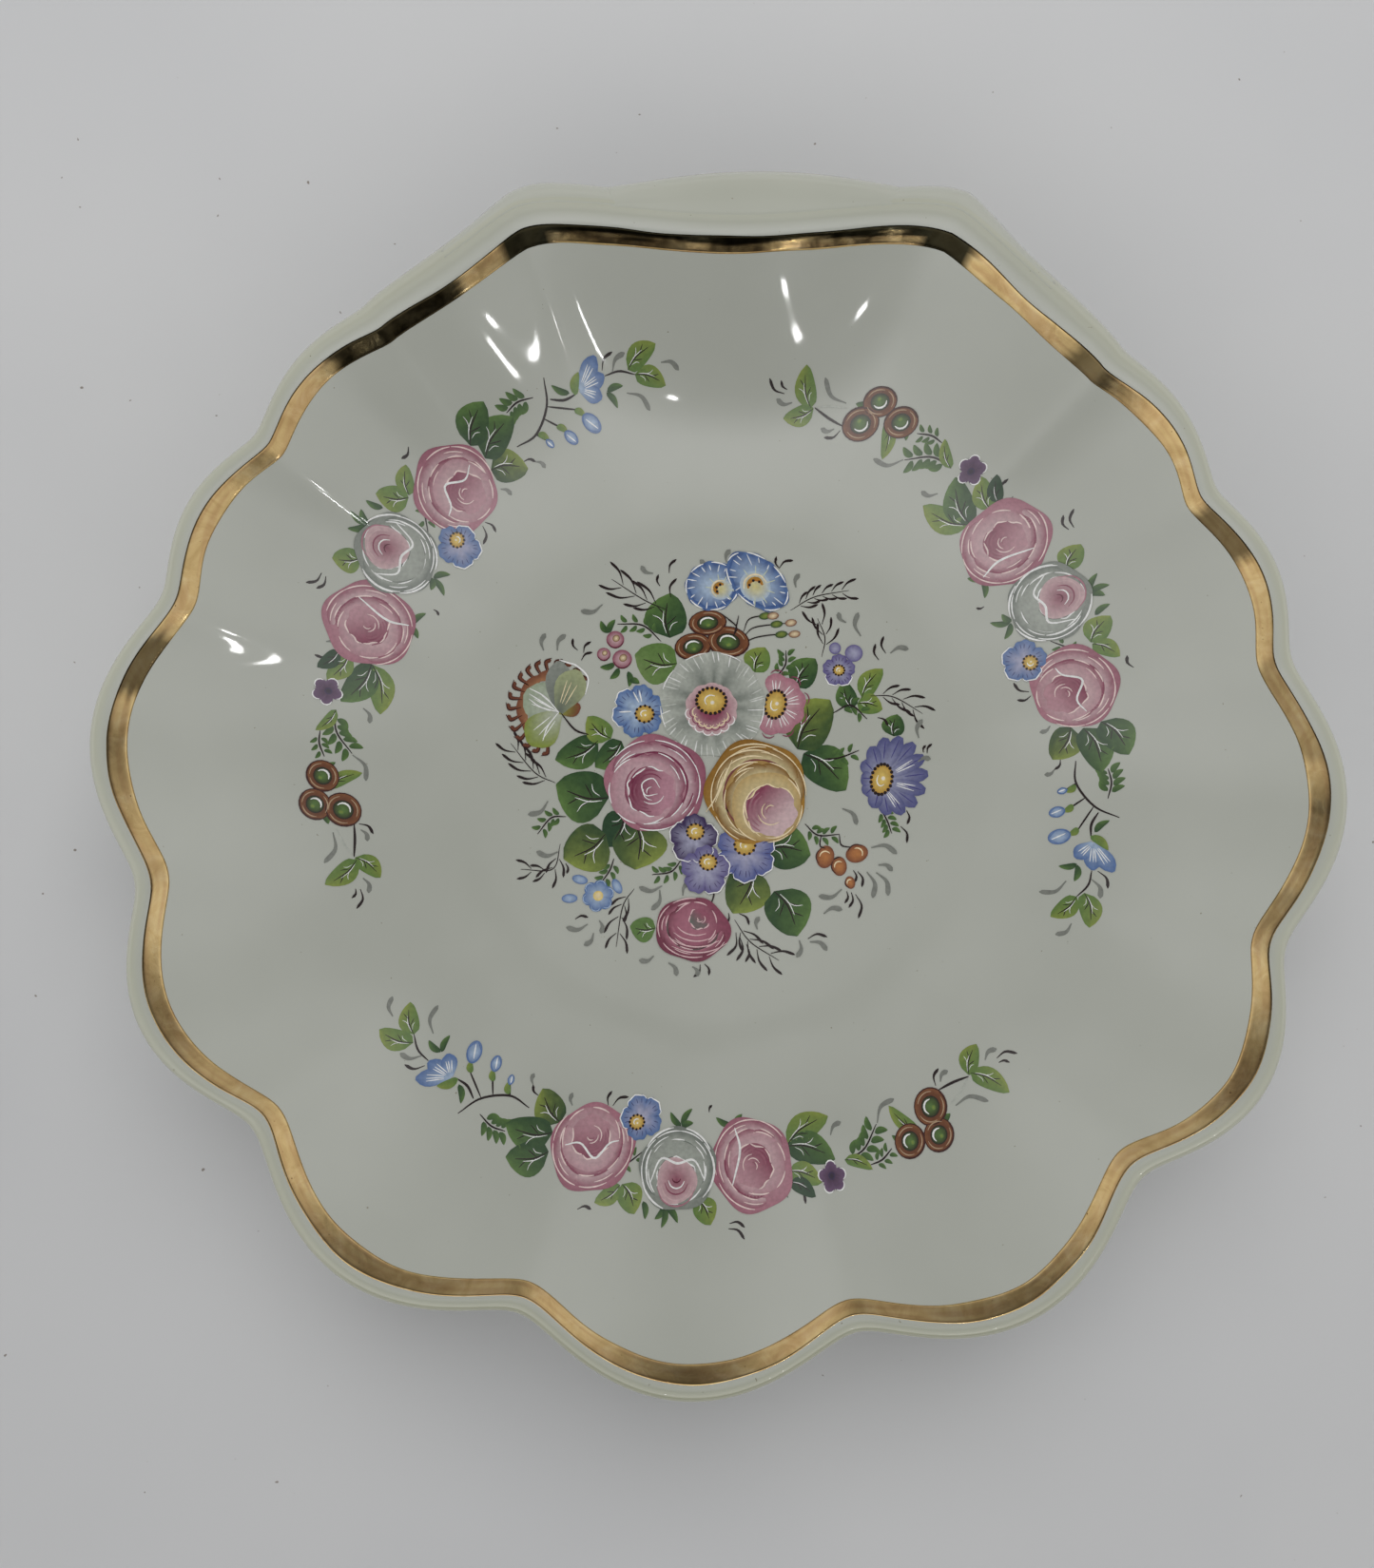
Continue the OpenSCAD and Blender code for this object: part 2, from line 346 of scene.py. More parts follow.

# Tints: the glaze gathers and greens at edges, with painted shade at the front and painted light at the
# sides, and the gold carries painted dark reflections.
PLAIN_GLAZE, EDGE_GLAZE = (1, 1, 1), (0.96, 0.945, 0.86)
# The front's darker tint is painted shade and the sides' brighter tint is painted light, both over the
# glaze's greenish pooling.
FRONT_GLAZE_AND_PAINTED_SHADE, SIDE_GLAZE_AND_PAINTED_LIGHT = (0.83, 0.82, 0.67), (1.06, 1.045, 0.94)
# The gold's darkest tint is a painted dark reflection of the room, not a colour of the gold.
PLAIN_GOLD, WARM_GOLD, DARK_REFLECTION_GOLD = (1, 1, 1), (0.86, 0.80, 0.80), (0.05, 0.06, 0.07)


# ---------------------------------------------------------------- the porcelain pieces
ANGLES = [i / 2 for i in range(720)]
LIP_ROWS, WELL_ROWS, WALL_ROWS, UNDER_ROWS, BASE_ROWS = 18, 10, 48, 36, 8
LIP_SHADE_ROWS, UNDER_SHADE_ROWS, UNDER_CLEARING = 8, 10, 0.6    # where the edge tint comes and goes


def edge_glaze_light_and_shade(a):
    """The glaze's tint along the lip: greener where it pools, darkened by painted shade at the front and
    brightened by painted light at the sides.
    """
    t = math.radians(a)
    return mix_each(EDGE_GLAZE if math.sin(t) > 0 else FRONT_GLAZE_AND_PAINTED_SHADE, SIDE_GLAZE_AND_PAINTED_LIGHT, math.cos(t) ** 2)


def bowl_shell():
    """Floor, fluted wall, rounded lip and underside, as one closed skin of rings."""
    rings = [[(WELL_R * k / WELL_ROWS, FLOOR_Z)] * len(ANGLES) for k in range(1, WELL_ROWS)]
    rings += [[inside_point(a, k / WALL_ROWS) for a in ANGLES] for k in range(WALL_ROWS)]
    lip_from = len(rings)
    turns = [mix(LIP_IN_TURN, LIP_OUT_TURN, k / LIP_ROWS) for k in range(LIP_ROWS)]
    rings += [[lip_point(a, turn) for a in ANGLES] for turn in turns]
    lip_to = len(rings)
    rings += [[under_point(a, 1 - k / UNDER_ROWS) for a in ANGLES] for k in range(UNDER_ROWS + 1)]
    rings += [[(UNDER_R * k / BASE_ROWS, UNDER_Z)] * len(ANGLES) for k in range(BASE_ROWS - 1, 0, -1)]
    points = [polar(a, p) for ring in rings for a, p in zip(ANGLES, ring)]
    n, last = len(ANGLES), len(points) - len(ANGLES)
    shades = [smooth((k - lip_from + 1) / LIP_SHADE_ROWS) if k < lip_to
              else 1 - UNDER_CLEARING * smooth((k - lip_to) / UNDER_SHADE_ROWS) for k in range(len(rings))]
    tints = [mix_each(PLAIN_GLAZE, edge_glaze_light_and_shade(a), shade) for shade in shades for a in ANGLES]
    points += [Vector((0, 0, FLOOR_Z)), Vector((0, 0, UNDER_Z))]
    tints += 2 * [PLAIN_GLAZE]
    faces = grid_faces(len(rings), n, ring=True)
    faces += [(len(points) - 2, (j + 1) % n, j) for j in range(n)]
    faces += [(len(points) - 1, last + j, last + (j + 1) % n) for j in range(n)]
    return new_piece("bowl_shell_glazed", points, [f[::-1] for f in faces], PORCELAIN,
                     ["bowl_shell"], "glazed_porcelain", tints)


def foot_ring():
    """A turned ring with rounded edges, flat where it stands."""
    mid, half = FOOT_R - FOOT_W / 2, FOOT_FLAT_W / 2
    section = [(mid + half - 0.6, 0), (mid + half - 0.15, 0.08), (mid + half + 0.25, 0.4),
               (mid + half + 0.7, 1.4), (FOOT_R - 1, UNDER_Z / 2), (FOOT_R - 0.45, UNDER_Z * 0.8),
               (FOOT_R, UNDER_Z)]
    section += [(2 * mid - r, z) for r, z in section[::-1]]
    points = [polar(a, p) for p in section for a in ANGLES[::2]]
    n = len(ANGLES[::2])
    faces = grid_faces(len(section) + 1, n, ring=True)
    faces = [tuple(i % len(points) for i in f) for f in faces]
    return new_piece("foot_ring_glazed", points, faces, foot_material(), ["foot_ring"], "foot_porcelain")


# The grip's rows, from the lip's shoulder down to the wall. Each is a distance out from the lip's
# centre line, in lip radii and in shares of the grip's reach, and a height likewise.
GRIP_PROFILE = [(0.2, 0, 0.98, 0), (0.57, 0.05, 0.82, 0), (0.80, 0.18, 0.64, 0), (0.97, 0.42, 0.40, 0),
                (1, 0.72, 0.1, 0), (1, 0.93, 0, -0.14), (1, 1, 0, -0.34), (1, 0.92, 0, -0.56),
                (1, 0.66, 0, -0.78), (1, 0.1, 0, -1)]
GRIP_TOP_TURN = 78        # the grip leaves the lip here
GRIP_BASE_SHARE = 0.8     # and joins the wall here
GRIP_WALL_FROM = 0.6      # share of its rows that lie along the lip
EAR_SPREAD_A = 6
SKIN = 0.05               # how far one glazed skin lies above the next
LUG_PUSH = [0.01, 0.3, 0.62, 0.85, 0.98, 1, 0.85, 0.5, 0.15]     # on each row of the grip but the last
LUG_SINK = 0.4            # how deep the lug's own inner skin lies in the grip


def grip_base(a, row):
    """(radius, height) on the bowl's outside behind a row of the grip."""
    s = row / (len(GRIP_PROFILE) - 1)
    if s < GRIP_WALL_FROM:
        return lip_point(a, mix(GRIP_TOP_TURN, LIP_OUT_TURN, s / GRIP_WALL_FROM))
    return under_point(a, mix(1, GRIP_BASE_SHARE, (s - GRIP_WALL_FROM) / (1 - GRIP_WALL_FROM)))


def grip_point(a, row):
    """(radius, height) on the grip's face, which fades into the bowl's own surface at its two ends."""
    turn, lip = from_hinge(a), lip_radius(a)
    out = GRIP_OUT + EAR_OUT * math.exp(-((turn - EAR_A) / EAR_SPREAD_A) ** 2)
    own = grip_base(a, row)
    own = (own[0] + SKIN, own[1] + SKIN / 2)
    by_lip, by_reach, lip_up, drop = GRIP_PROFILE[row]
    r = outline(a)[0] + lip * by_lip + out * by_reach
    z = crest(a) - lip + lip * lip_up + GRIP_DROP * drop
    return mix_each(own, (max(r, own[0]), z + SKIN / 2), smooth((GRIP_END_A - turn) / GRIP_FADE_A))


def span(half):
    """Angles from one side of the hinge end's middle to the other, half a degree apart."""
    count = round(4 * half)
    return [HINGE_A - half + 2 * half * k / count for k in range(count + 1)]


def hinge_end_piece(name, node, angles, outer, inner):
    rows = len(outer) // len(angles)
    tints = [mix_each(PLAIN_GLAZE, EDGE_GLAZE, mix(0.36, 1, row / (rows - 1)))
             for row in range(rows) for a in angles]
    faces = [f[::-1] for f in slab_faces(rows, len(angles))]
    return new_piece(name, outer + inner, faces, PORCELAIN, [node], "glazed_porcelain", 2 * tints, True)


def hinge_grip():
    """The ledge under the hinge end's lip, with its two rounded ears."""
    angles, rows = span(GRIP_END_A), range(len(GRIP_PROFILE))
    outer = [polar(a, grip_point(a, row)) for row in rows for a in angles]
    inner = [polar(a, grip_base(a, row)) for row in rows for a in angles]
    return hinge_end_piece("hinge_grip_glazed", "hinge_grip", angles, outer, inner)


def thumb_lug():
    """The rounded lug in the middle of the grip. Its outer skin dips under the grip's at its ends."""
    angles = span(LUG_A)
    inner, outer = [], []
    for row, share in enumerate(LUG_PUSH):
        for a in angles:
            r, z = grip_point(a, row)
            out = LUG_OUT * (1 - (from_hinge(a) / LUG_A) ** 2) ** 1.2
            skin = min(SKIN, 0.1 * (LUG_A - from_hinge(a)) - SKIN)
            outer.append(polar(a, (r + skin + out * share, z + skin)))
            inner.append(polar(a, (r - LUG_SINK, z - (LUG_SINK / 2 if row > 4 else 0))))
    return hinge_end_piece("thumb_lug_glazed", "thumb_lug", angles, outer, inner)


# Where painted dark reflections darken the gold line along its run: angle, half width in degrees, how dark.
PAINTED_REFLECTION_PATCHES = [(128.5, 8.5, 0.95), (172, 4, 0.8), (51, 3.5, 0.75), (29, 4, 0.75), (10, 6, 0.45),
                 (350, 3, 0.4)]
GILT_ROWS = 11
GILT_LIFT, GILT_EDGE_LIFT, GILT_UNDER = 0.06, 0.03, -0.1
GILT_WAVER, GILT_GAP = 0.006, 0.004     # shares of the wall's run; the gap is what the lip keeps bare


def gilt_tint_and_painted_reflections(a, edge):
    """The gold carries painted dark reflections along its upper edge at the hinge end, right across at the
    two corners there, and in the patches; streaks make the dark ragged."""
    corner = min(abs(a - HINGE_CORNERS[0][0]), abs(a - HINGE_CORNERS[1][0]))
    t = math.radians(a)
    streak = noise.noise(Vector((math.cos(t) * 12, math.sin(t) * 12, edge * 4)))
    upper = smooth((edge - 0.42 + 0.3 * streak) / 0.22) * smooth((24 - from_hinge(a)) / 2)
    patches = [depth * smooth((half - abs(a - at)) / 1.6 + 0.5 * streak)
               for at, half, depth in PAINTED_REFLECTION_PATCHES]
    # Painted dark reflections: the hinge end's upper edge, the two corners and the patches.
    dark = max(upper, smooth((3.2 - corner) / 1.2), *patches)
    return mix_each(mix_each(PLAIN_GOLD, WARM_GOLD, smooth(0.5 + 1.6 * streak)), DARK_REFLECTION_GOLD, dark)


def gilt_line():
    """The gold line: a thin film whose edges waver as a hand-drawn line does."""
    outer, inner, tints = [], [], []
    for row in range(GILT_ROWS):
        edge = row / (GILT_ROWS - 1)
        lift = GILT_LIFT if 0 < row < GILT_ROWS - 1 else GILT_EDGE_LIFT
        for a in ANGLES:
            t = math.radians(a)
            place = Vector((math.cos(t), math.sin(t), 0)) * 9 + Vector((0, 0, 3 if edge < 0.5 else 8))
            waver = GILT_WAVER * noise.noise(place) * abs(2 * edge - 1)
            s = 1 - GILT_SHARE * (1 - edge) - waver - GILT_GAP
            outer.append(polar(a, inside_point(a, s), lift))
            inner.append(polar(a, inside_point(a, s), GILT_UNDER))
            tints.append(gilt_tint_and_painted_reflections(a, edge))
    faces = [f[::-1] for f in slab_faces(GILT_ROWS, len(ANGLES), ring=True)]
    return new_piece("gilt_line_gold", outer + inner, faces, GILT, ["gilt_line"], "gilding", 2 * tints, True)


bowl_shell()
foot_ring()
hinge_grip()
thumb_lug()
gilt_line()

# ---------------------------------------------------------------- enamel: brush strokes and films
ENAMEL_GAIN = 1.45        # how much paler fired enamel is than it looks under this light
# How far a film's top lies above the glaze, in all, for each level and for each film before it in
# its piece, and how far its underside lies below the glaze.
FILM_LIFT, LEVEL_LIFT, STROKE_LIFT, FILM_UNDER = 0.03, 0.012, 0.0006, 0.05


def ink(red, green, blue):
    """An enamel's tint, from its colour as it looks on the bowl."""
    return tuple(min(0.93, v * ENAMEL_GAIN) for v in srgb(red, green, blue))


WHITE, CREAM, BLACK, SHADOW = ink(216, 217, 208), ink(208, 192, 158), ink(40, 32, 32), ink(112, 114, 108)
OLIVE, GREEN, DEEP = ink(118, 130, 62), ink(82, 108, 58), ink(40, 62, 42)
GOLDEN, OCHRE, UMBER = ink(196, 172, 98), ink(152, 114, 48), ink(96, 62, 28)
SKY, BLUE, NAVY = ink(150, 166, 184), ink(78, 102, 144), ink(46, 60, 102)
MAUVE, VIOLET, PLUM = ink(146, 146, 166), ink(90, 84, 124), ink(56, 44, 76)
BLUSH, PINK, RASPBERRY, WINE = ink(176, 150, 152), ink(152, 104, 116), ink(120, 62, 80), ink(82, 32, 46)
PEARL, PEWTER, SLATE = ink(160, 163, 155), ink(122, 126, 119), ink(88, 94, 88)
RUST, MAROON = ink(106, 64, 48), ink(62, 36, 32)


def enamel_material():
    """Glossy overglaze enamel, tinted point by point, with the mottling of brushed colour."""
    material, tree, shader = new_material("enamel", Roughness=0.22, Coat_Weight=1.0, Coat_Roughness=0.04)
    mottle = ramp(tree, object_noise(tree, 1100, 3), [(0.3, 0.86), (0.7, 1.08)])
    tree.links.new(multiply(tree, painted_tint(tree), mottle), shader.inputs["Base Color"])
    return material


ENAMEL = enamel_material()


def along(points, count):
    """Evenly spaced points on a smooth curve through the given ones."""
    ends = [(2 * points[0][0] - points[1][0], 2 * points[0][1] - points[1][1]),
            (2 * points[-1][0] - points[-2][0], 2 * points[-1][1] - points[-2][1])]
    knots = [ends[0], *points, ends[1]]
    curve = []
    for k in range(count):
        t = (len(points) - 1) * k / (count - 1)
        i = min(int(t), len(points) - 2)
        t -= i
        a, b, c, d = knots[i:i + 4]
        curve.append(tuple(
            0.5 * (2 * b[n] + (c[n] - a[n]) * t + (2 * a[n] - 5 * b[n] + 4 * c[n] - d[n]) * t ** 2
                   + (3 * b[n] - a[n] - 3 * c[n] + d[n]) * t ** 3) for n in (0, 1)))
    return curve


def around(at, radius, angle, squash=1, turn=0):
    """The point at an angle in degrees on an ellipse round at, itself turned."""
    t, u = math.radians(angle), math.radians(turn)
    x, y = radius * math.cos(t), radius * squash * math.sin(t)
    return at[0] + x * math.cos(u) - y * math.sin(u), at[1] + x * math.sin(u) + y * math.cos(u)


def line_form(s):
    """Width of a stroke along its length: here pointed at both ends, and below swelling to its tip."""
    return math.sin(math.pi * mix(0.06, 0.94, s)) ** 0.6


def comma_form(s):
    return mix(0.15, 1, s ** 1.3) * math.sqrt(max(0.02, 1 - s ** 6))


class Enamel:
    """One piece of fired enamel: thin closed films drawn on the glaze, each with its own tints. The
    whole drawing is turned by swing and moved by shift, and base is the level of its lowest film."""
    drawn = []

    def __init__(self, name, node, slot_name, swing=0, base=0, shift=(0, 0)):
        self.name, self.node, self.slot_name, self.base = name, node, slot_name, base
        self.swing, self.shift = math.radians(swing), shift
        self.points, self.faces, self.tints = [], [], []
        self.films = 0
        self.chance = random.Random(name)
        Enamel.drawn.append(self)

    def film(self, rows, tints, level):
        """A film over a grid of (x, y) points, each with its tint."""
        self.films += 1
        lift = FILM_LIFT + LEVEL_LIFT * (self.base + level) + STROKE_LIFT * self.films
        edge = rows[0] + [row[-1] for row in rows] + rows[-1][::-1] + [row[0] for row in rows[::-1]]
        # A grid that runs clockwise is mirrored, so that every film faces up.
        if sum(p[0] * q[1] - p[1] * q[0] for p, q in zip(edge, edge[1:] + edge[:1])) < 0:
            rows, tints = [row[::-1] for row in rows], [row[::-1] for row in tints]
        cos, sin = math.cos(self.swing), math.sin(self.swing)
        start = len(self.points)
        flat = [(cos * x - sin * y + self.shift[0], sin * x + cos * y + self.shift[1])
                for row in rows for x, y in row]
        heights = [glaze_z(x, y) for x, y in flat]
        self.points += [Vector((x, y, z + lift)) for (x, y), z in zip(flat, heights)]
        self.points += [Vector((x, y, z - FILM_UNDER)) for (x, y), z in zip(flat, heights)]
        self.tints += 2 * [tint for row in tints for tint in row]
        self.faces += slab_faces(len(rows), len(rows[0]), start=start)

    def shape(self, at, reach, tint, level=1, cells=8, turn=0):
        """A closed outline: reach(angle) is its radius, and tint(angle, share of it) its colour."""
        u0 = math.radians(turn)
        rows, tints = [], []
        steps = [2 * k / cells - 1 for k in range(cells + 1)]
        for v in steps:
            flat = [(u * math.sqrt(1 - v * v / 2), v * math.sqrt(1 - u * u / 2)) for u in steps]
            polars = [(math.atan2(y, x), math.hypot(x, y)) for x, y in flat]
            rows.append([(at[0] + s * reach(a) * math.cos(a + u0), at[1] + s * reach(a) * math.sin(a + u0))
                         for a, s in polars])
            tints.append([tint(a, s) for a, s in polars])
        self.film(rows, tints, level)

    def oval(self, at, radius, squash, turn, middle, edge, level=1, cells=6):
        self.shape(at, lambda a: radius * squash / math.hypot(squash * math.cos(a), math.sin(a)),
                   lambda a, s: mix_each(middle, edge, s ** 1.5), level, cells, turn)

    def stroke(self, points, width, tint, other=None, level=3, form=line_form):
        """A brush stroke; other is the tint on its right."""
        length = sum(math.dist(p, q) for p, q in zip(points, points[1:]))
        count = max(5, min(24, round(length / 0.7) + 2))
        path = along(points, count)
        rows, sides = [], (tint, mix_each(tint, other or tint, 0.5), other or tint)
        for k, (x, y) in enumerate(path):
            (x0, y0), (x1, y1) = path[max(k - 1, 0)], path[min(k + 1, count - 1)]
            step = math.hypot(x1 - x0, y1 - y0) or 1
            half = width * form(k / (count - 1)) / 2
            dx, dy = -(y1 - y0) / step * half, (x1 - x0) / step * half
            rows.append([(x + dx, y + dy), (x, y), (x - dx, y - dy)])
        self.film(rows, [sides] * count, level)

    def arc(self, at, radius, start, stop, width, tint, other=None, level=3, squash=1, turn=0):
        """A stroke along part of an ellipse, between two angles in degrees."""
        knots = [around(at, radius, mix(start, stop, k / 4), squash, turn) for k in range(5)]
        self.stroke(knots, width, tint, other, level)

    def comma(self, base, tip, width, tint, level, bow=0.2):
        """A stroke that swells towards its tip, bowed to one side."""
        dx, dy = tip[0] - base[0], tip[1] - base[1]
        middle = ((base[0] + tip[0]) / 2 - dy * bow, (base[1] + tip[1]) / 2 + dx * bow)
        self.stroke([base, middle, tip], width, tint, level=level, form=comma_form)

    def blade(self, base, tip, rows, across, half, tint, level, bow=0.0):
        """A film along the way from base to tip: half(t) is its half width, tint(t, side) its colour."""
        dx, dy = tip[0] - base[0], tip[1] - base[1]
        long = math.hypot(dx, dy)
        grid, tints = [], []
        for i in range(rows):
            t = i / (rows - 1)
            bend, wide = bow * math.sin(math.pi * t), half(t)
            x, y = base[0] + dx * t - dy * bend, base[1] + dy * t + dx * bend
            grid.append([(x - dy / long * wide * c, y + dx / long * wide * c) for c in across])
            tints.append([tint(t, c) for c in across])
        self.film(grid, tints, level)

    def leaf(self, base, tip, width, bright, deep, veins=2, level=0):
        """A broad leaf, darker by its stem and along one side, with painted veins."""
        dx, dy, bow = tip[0] - base[0], tip[1] - base[1], 0.1

        def tint(t, side):
            light = 0.05 + 1.15 * t ** 0.9 * (0.6 + 0.45 * side) + self.chance.uniform(-0.1, 0.1)
            return mix_each(deep, bright, min(1, max(0, light)))

        def rib(t, side, reach=0.0):
            bend = bow * math.sin(math.pi * t)
            side = side * width / 2 / math.hypot(dx, dy)
            return (base[0] + dx * (t + reach) - dy * (bend + side),
                    base[1] + dy * (t + reach) + dx * (bend + side))

        def vein(share, least, tint, *stops):
            self.stroke([rib(*stop) for stop in stops], share * width + least, tint, level=level + 1)

        self.blade(base, tip, 10, [k / 4 for k in range(-4, 5)],
                   lambda t: width / 2 * max(0.03, math.sin(math.pi * t ** 0.8) ** 0.62), tint, level, bow)
        if not veins:
            return
        vein(0.02, 0.16, BLACK, (0, 0), (0.35, 0.03), (0.78, 0))
        for t, side in ((0.28, 0.5), (0.28, -0.45), (0.5, 0.4))[:veins + 1]:
            vein(0.012, 0.14, BLACK, (t, 0), (t, side, 0.2))
        vein(0.012, 0.1, WHITE, (0.1, 0.1), (0.34, 0.14), (0.6, 0.1))
        for t, side in ((0.3, -0.55), (0.44, 0.6)) if veins > 1 else ():
            vein(0.01, 0.08, WHITE, (t - 0.14, side * 0.15), (t, side * 0.5), (t + 0.06, side))

    def petal(self, base, tip, width, inner, outer, level, streak, blunt=0.55):
        """A petal that widens from its base to a round end."""
        self.blade(base, tip, 8, (-1, -0.6, 0, 0.6, 1),
                   lambda t: width / 2 * max(0.08, math.sin(math.pi * mix(0.05, 0.97, t ** 1.4)) ** blunt),
                   lambda t, c: mix_each(inner, outer, min(1, t ** 0.9 + 0.35 * c * c)), level)
        if not streak:
            return
        dx, dy = tip[0] - base[0], tip[1] - base[1]
        for side in (-0.5, 0.1, 0.55):
            off = side * width / 3 / math.hypot(dx, dy)
            self.stroke([(base[0] + dx * 0.2 - dy * off * 0.5, base[1] + dy * 0.2 + dx * off * 0.5),
                         (base[0] + dx * 0.7 - dy * off, base[1] + dy * 0.7 + dx * off)],
                        0.22, streak, level=level + 1)

    def stems(self, *stems):
        """Dark stems, each a width and its points."""
        for width, *points in stems:
            self.stroke(points, width, BLACK)

    def commas(self, ends, width, tint):
        for base, tip in ends:
            self.comma(base, tip, width, tint, 1)

    def eye(self, at, radius, squash, turn, dots, level=4):
        """A flower's yellow middle, ringed with dark dots, with a spot of light."""
        self.oval(at, radius, squash, turn, GOLDEN, OCHRE, level)
        for k in range(dots):
            spot = around(at, radius * 0.95, 360 * k / dots, squash, turn)
            self.oval(spot, 0.07 * radius + 0.16, 1, 0, BLACK, BLACK, level + 1, cells=2)
        self.arc(at, radius * 0.42, 60, 230, 0.3, WHITE, level=level + 1, squash=squash, turn=turn)
        glint = around(at, radius * 0.15, 300, squash, turn)
        self.oval(glint, 0.14 * radius, 1, 0, WHITE, CREAM, level + 1, 2)

    def finish(self):
        piece = new_piece(self.name, self.points, self.faces, ENAMEL, [self.node], self.slot_name,
                          self.tints)
        piece.data.set_sharp_from_angle(angle=math.radians(35))


# ---------------------------------------------------------------- flowers
def rose(e, at, radius, cup, heart, side, outer, pale, dark, line, deep=None, squash=0.95, soft=None):
    """A cabbage rose. The cup and its heart are (x, y, radius) beside the middle; its loose petals
    crowd towards side, in degrees."""
    deep, soft = deep or dark, soft or mix_each(outer, pale, 0.3)
    wave = e.chance.uniform(0, 6)
    cup_at, cup_r = (at[0] + cup[0], at[1] + cup[1]), cup[2]
    heart_at, heart_r = (at[0] + heart[0], at[1] + heart[1]), heart[2]
    crowd = math.radians(side)

    def body(a, s):
        shade = 0.5 + 0.5 * math.cos(a - crowd)
        return mix_each(mix_each(pale, outer, 0.4 + 0.6 * s), dark, (0.15 + 0.5 * shade) * abs(s) ** 2)

    def rim(a):
        oval = squash / math.hypot(squash * math.cos(a), math.sin(a))
        return radius * oval * (0.96 + 0.04 * math.cos(5 * a + wave))
    e.shape(at, rim, body, 1, 16)
    for ring, share in enumerate((0.9, 0.72)):
        count = 6 - ring
        for k in range(count):
            a = side + (k - (count - 1) / 2) * 250 / count + e.chance.uniform(-9, 9)
            middle = mix_each(at, cup_at, 0.25 + 0.35 * ring)
            reach = radius * share
            e.arc(middle, reach - 0.13 * radius, a - 36, a + 34, 0.26 * radius, pale,
                  mix_each(dark, outer, 0.25), 2 + ring, squash)
            e.arc(middle, reach - 0.24 * radius, a - 24, a + 30, 0.035 * radius + 0.1,
                  mix_each(deep, dark, 0.5), level=4, squash=squash)
            e.arc(middle, reach, a - 26 + 12 * ring, a + 14, 0.3, line, level=5, squash=squash)
            if (k + ring) % 2:
                e.arc(middle, reach - 0.1 * radius, a - 4, a + 28, 0.24, line, level=5, squash=squash)

    def collar(a):
        return cup_r * (0.97 + 0.03 * math.cos(4 * a + wave))

    def cup_tint(a, s):
        body_tint = mix_each(outer, pale, 0.9 - 0.5 * abs(s) ** 3)
        return mix_each(body_tint, dark, 0.25 * s * max(0, -math.cos(a - crowd)))
    e.shape(cup_at, collar, cup_tint, 5, 12)

    def ruffle(a):
        return heart_r * (0.94 + 0.05 * math.sin(6 * a + wave) + 0.03 * math.cos(11 * a))
    lean = math.atan2(heart[1] - cup[1], heart[0] - cup[0])

    def heart_tint(a, s):
        return mix_each(soft, deep, min(1, max(0, 0.4 - 0.75 * s * math.cos(a - lean))))
    e.shape(heart_at, ruffle, heart_tint, 6, 12)
    start = math.degrees(lean) + 70
    for t in range(0, 220, 44):
        turns = [start + t + d for d in (0, 13, 26, 39)]
        e.stroke([around(heart_at, ruffle(math.radians(turn)), turn) for turn in turns], 0.34, line, level=9)
    for k in range(6):
        reach, turn = heart_r * (0.16 + 0.14 * k), start + 62 + 9 * k + e.chance.uniform(-8, 8)
        e.arc(mix_each(heart_at, cup_at, 0.1 * k), reach, turn, turn + 118, 0.26 + 0.02 * radius,
              mix_each(soft, deep, 0.75), level=7, squash=squash)
    for reach, turn in ((0.2, 30), (0.34, 100), (0.5, 170)):
        turn += start
        e.arc(heart_at, heart_r * reach, turn, turn + 110, 0.24, line, level=8, squash=squash)
    for turn in (side + 95, side + 150, side + 205, side + 255):
        e.arc(cup_at, cup_r * 0.97, turn, turn + 36, 0.32, line, level=8)


def bindweed(e, at, radius, throat, turn, squash):
    """A blue trumpet: pale throat, pleated rim with white edging, orange tongue."""
    def tint(a, s):
        pleat = 0.5 + 0.5 * math.sin(14 * a + 2 * math.sin(3 * a))
        return mix_each(SKY, mix_each(NAVY, BLUE, 0.35 + 0.65 * pleat), min(1, max(0, s * 1.5 - 0.35)))

    def reach(a):
        oval = squash / math.hypot(squash * math.cos(a), math.sin(a))
        return radius * oval * (1 + 0.03 * math.sin(9 * a))
    e.shape(at, reach, tint, 1, 20, turn)
    for k in range(16):
        a = 22.5 * k + e.chance.uniform(-5, 5)
        start = around(at, radius * e.chance.uniform(0.52, 0.74), a, squash, turn)
        end = around(at, radius * e.chance.uniform(0.84, 0.98), a + 3, squash, turn)
        e.stroke([start, end], 0.26, mix_each(WHITE, SKY, 0.35 * e.chance.random()), level=3)
    for k in range(7):
        e.arc(at, radius * 0.97, 52 * k, 52 * k + 34, 0.34, WHITE, level=3, squash=squash, turn=turn)
    for k in range(5):
        e.arc(at, radius * 0.9, 180 + 34 * k, 212 + 34 * k, 1.1, ink(58, 80, 124), BLUE, 1, squash, turn)
    e.oval(throat, radius * 0.44, 0.9, turn, ink(182, 172, 118), SKY, 3)
    for k in range(7):
        a = turn + 36 * k - 50
        e.stroke([around(throat, radius * 0.3, a), around(throat, radius * 0.56, a)], 0.24,
                 ink(176, 182, 160), level=4)
    e.arc(throat, radius * 0.2, turn + 50, turn + 240, 1.1, ink(150, 94, 40), OCHRE, 5)
    e.arc(throat, radius * 0.32, turn + 60, turn + 235, 0.4, CREAM, level=6)
    for k in range(3):
        e.oval(around(throat, radius * 0.16, turn + 90 + 60 * k), 0.34, 1, 0, BLACK, BLACK, 7, 2)


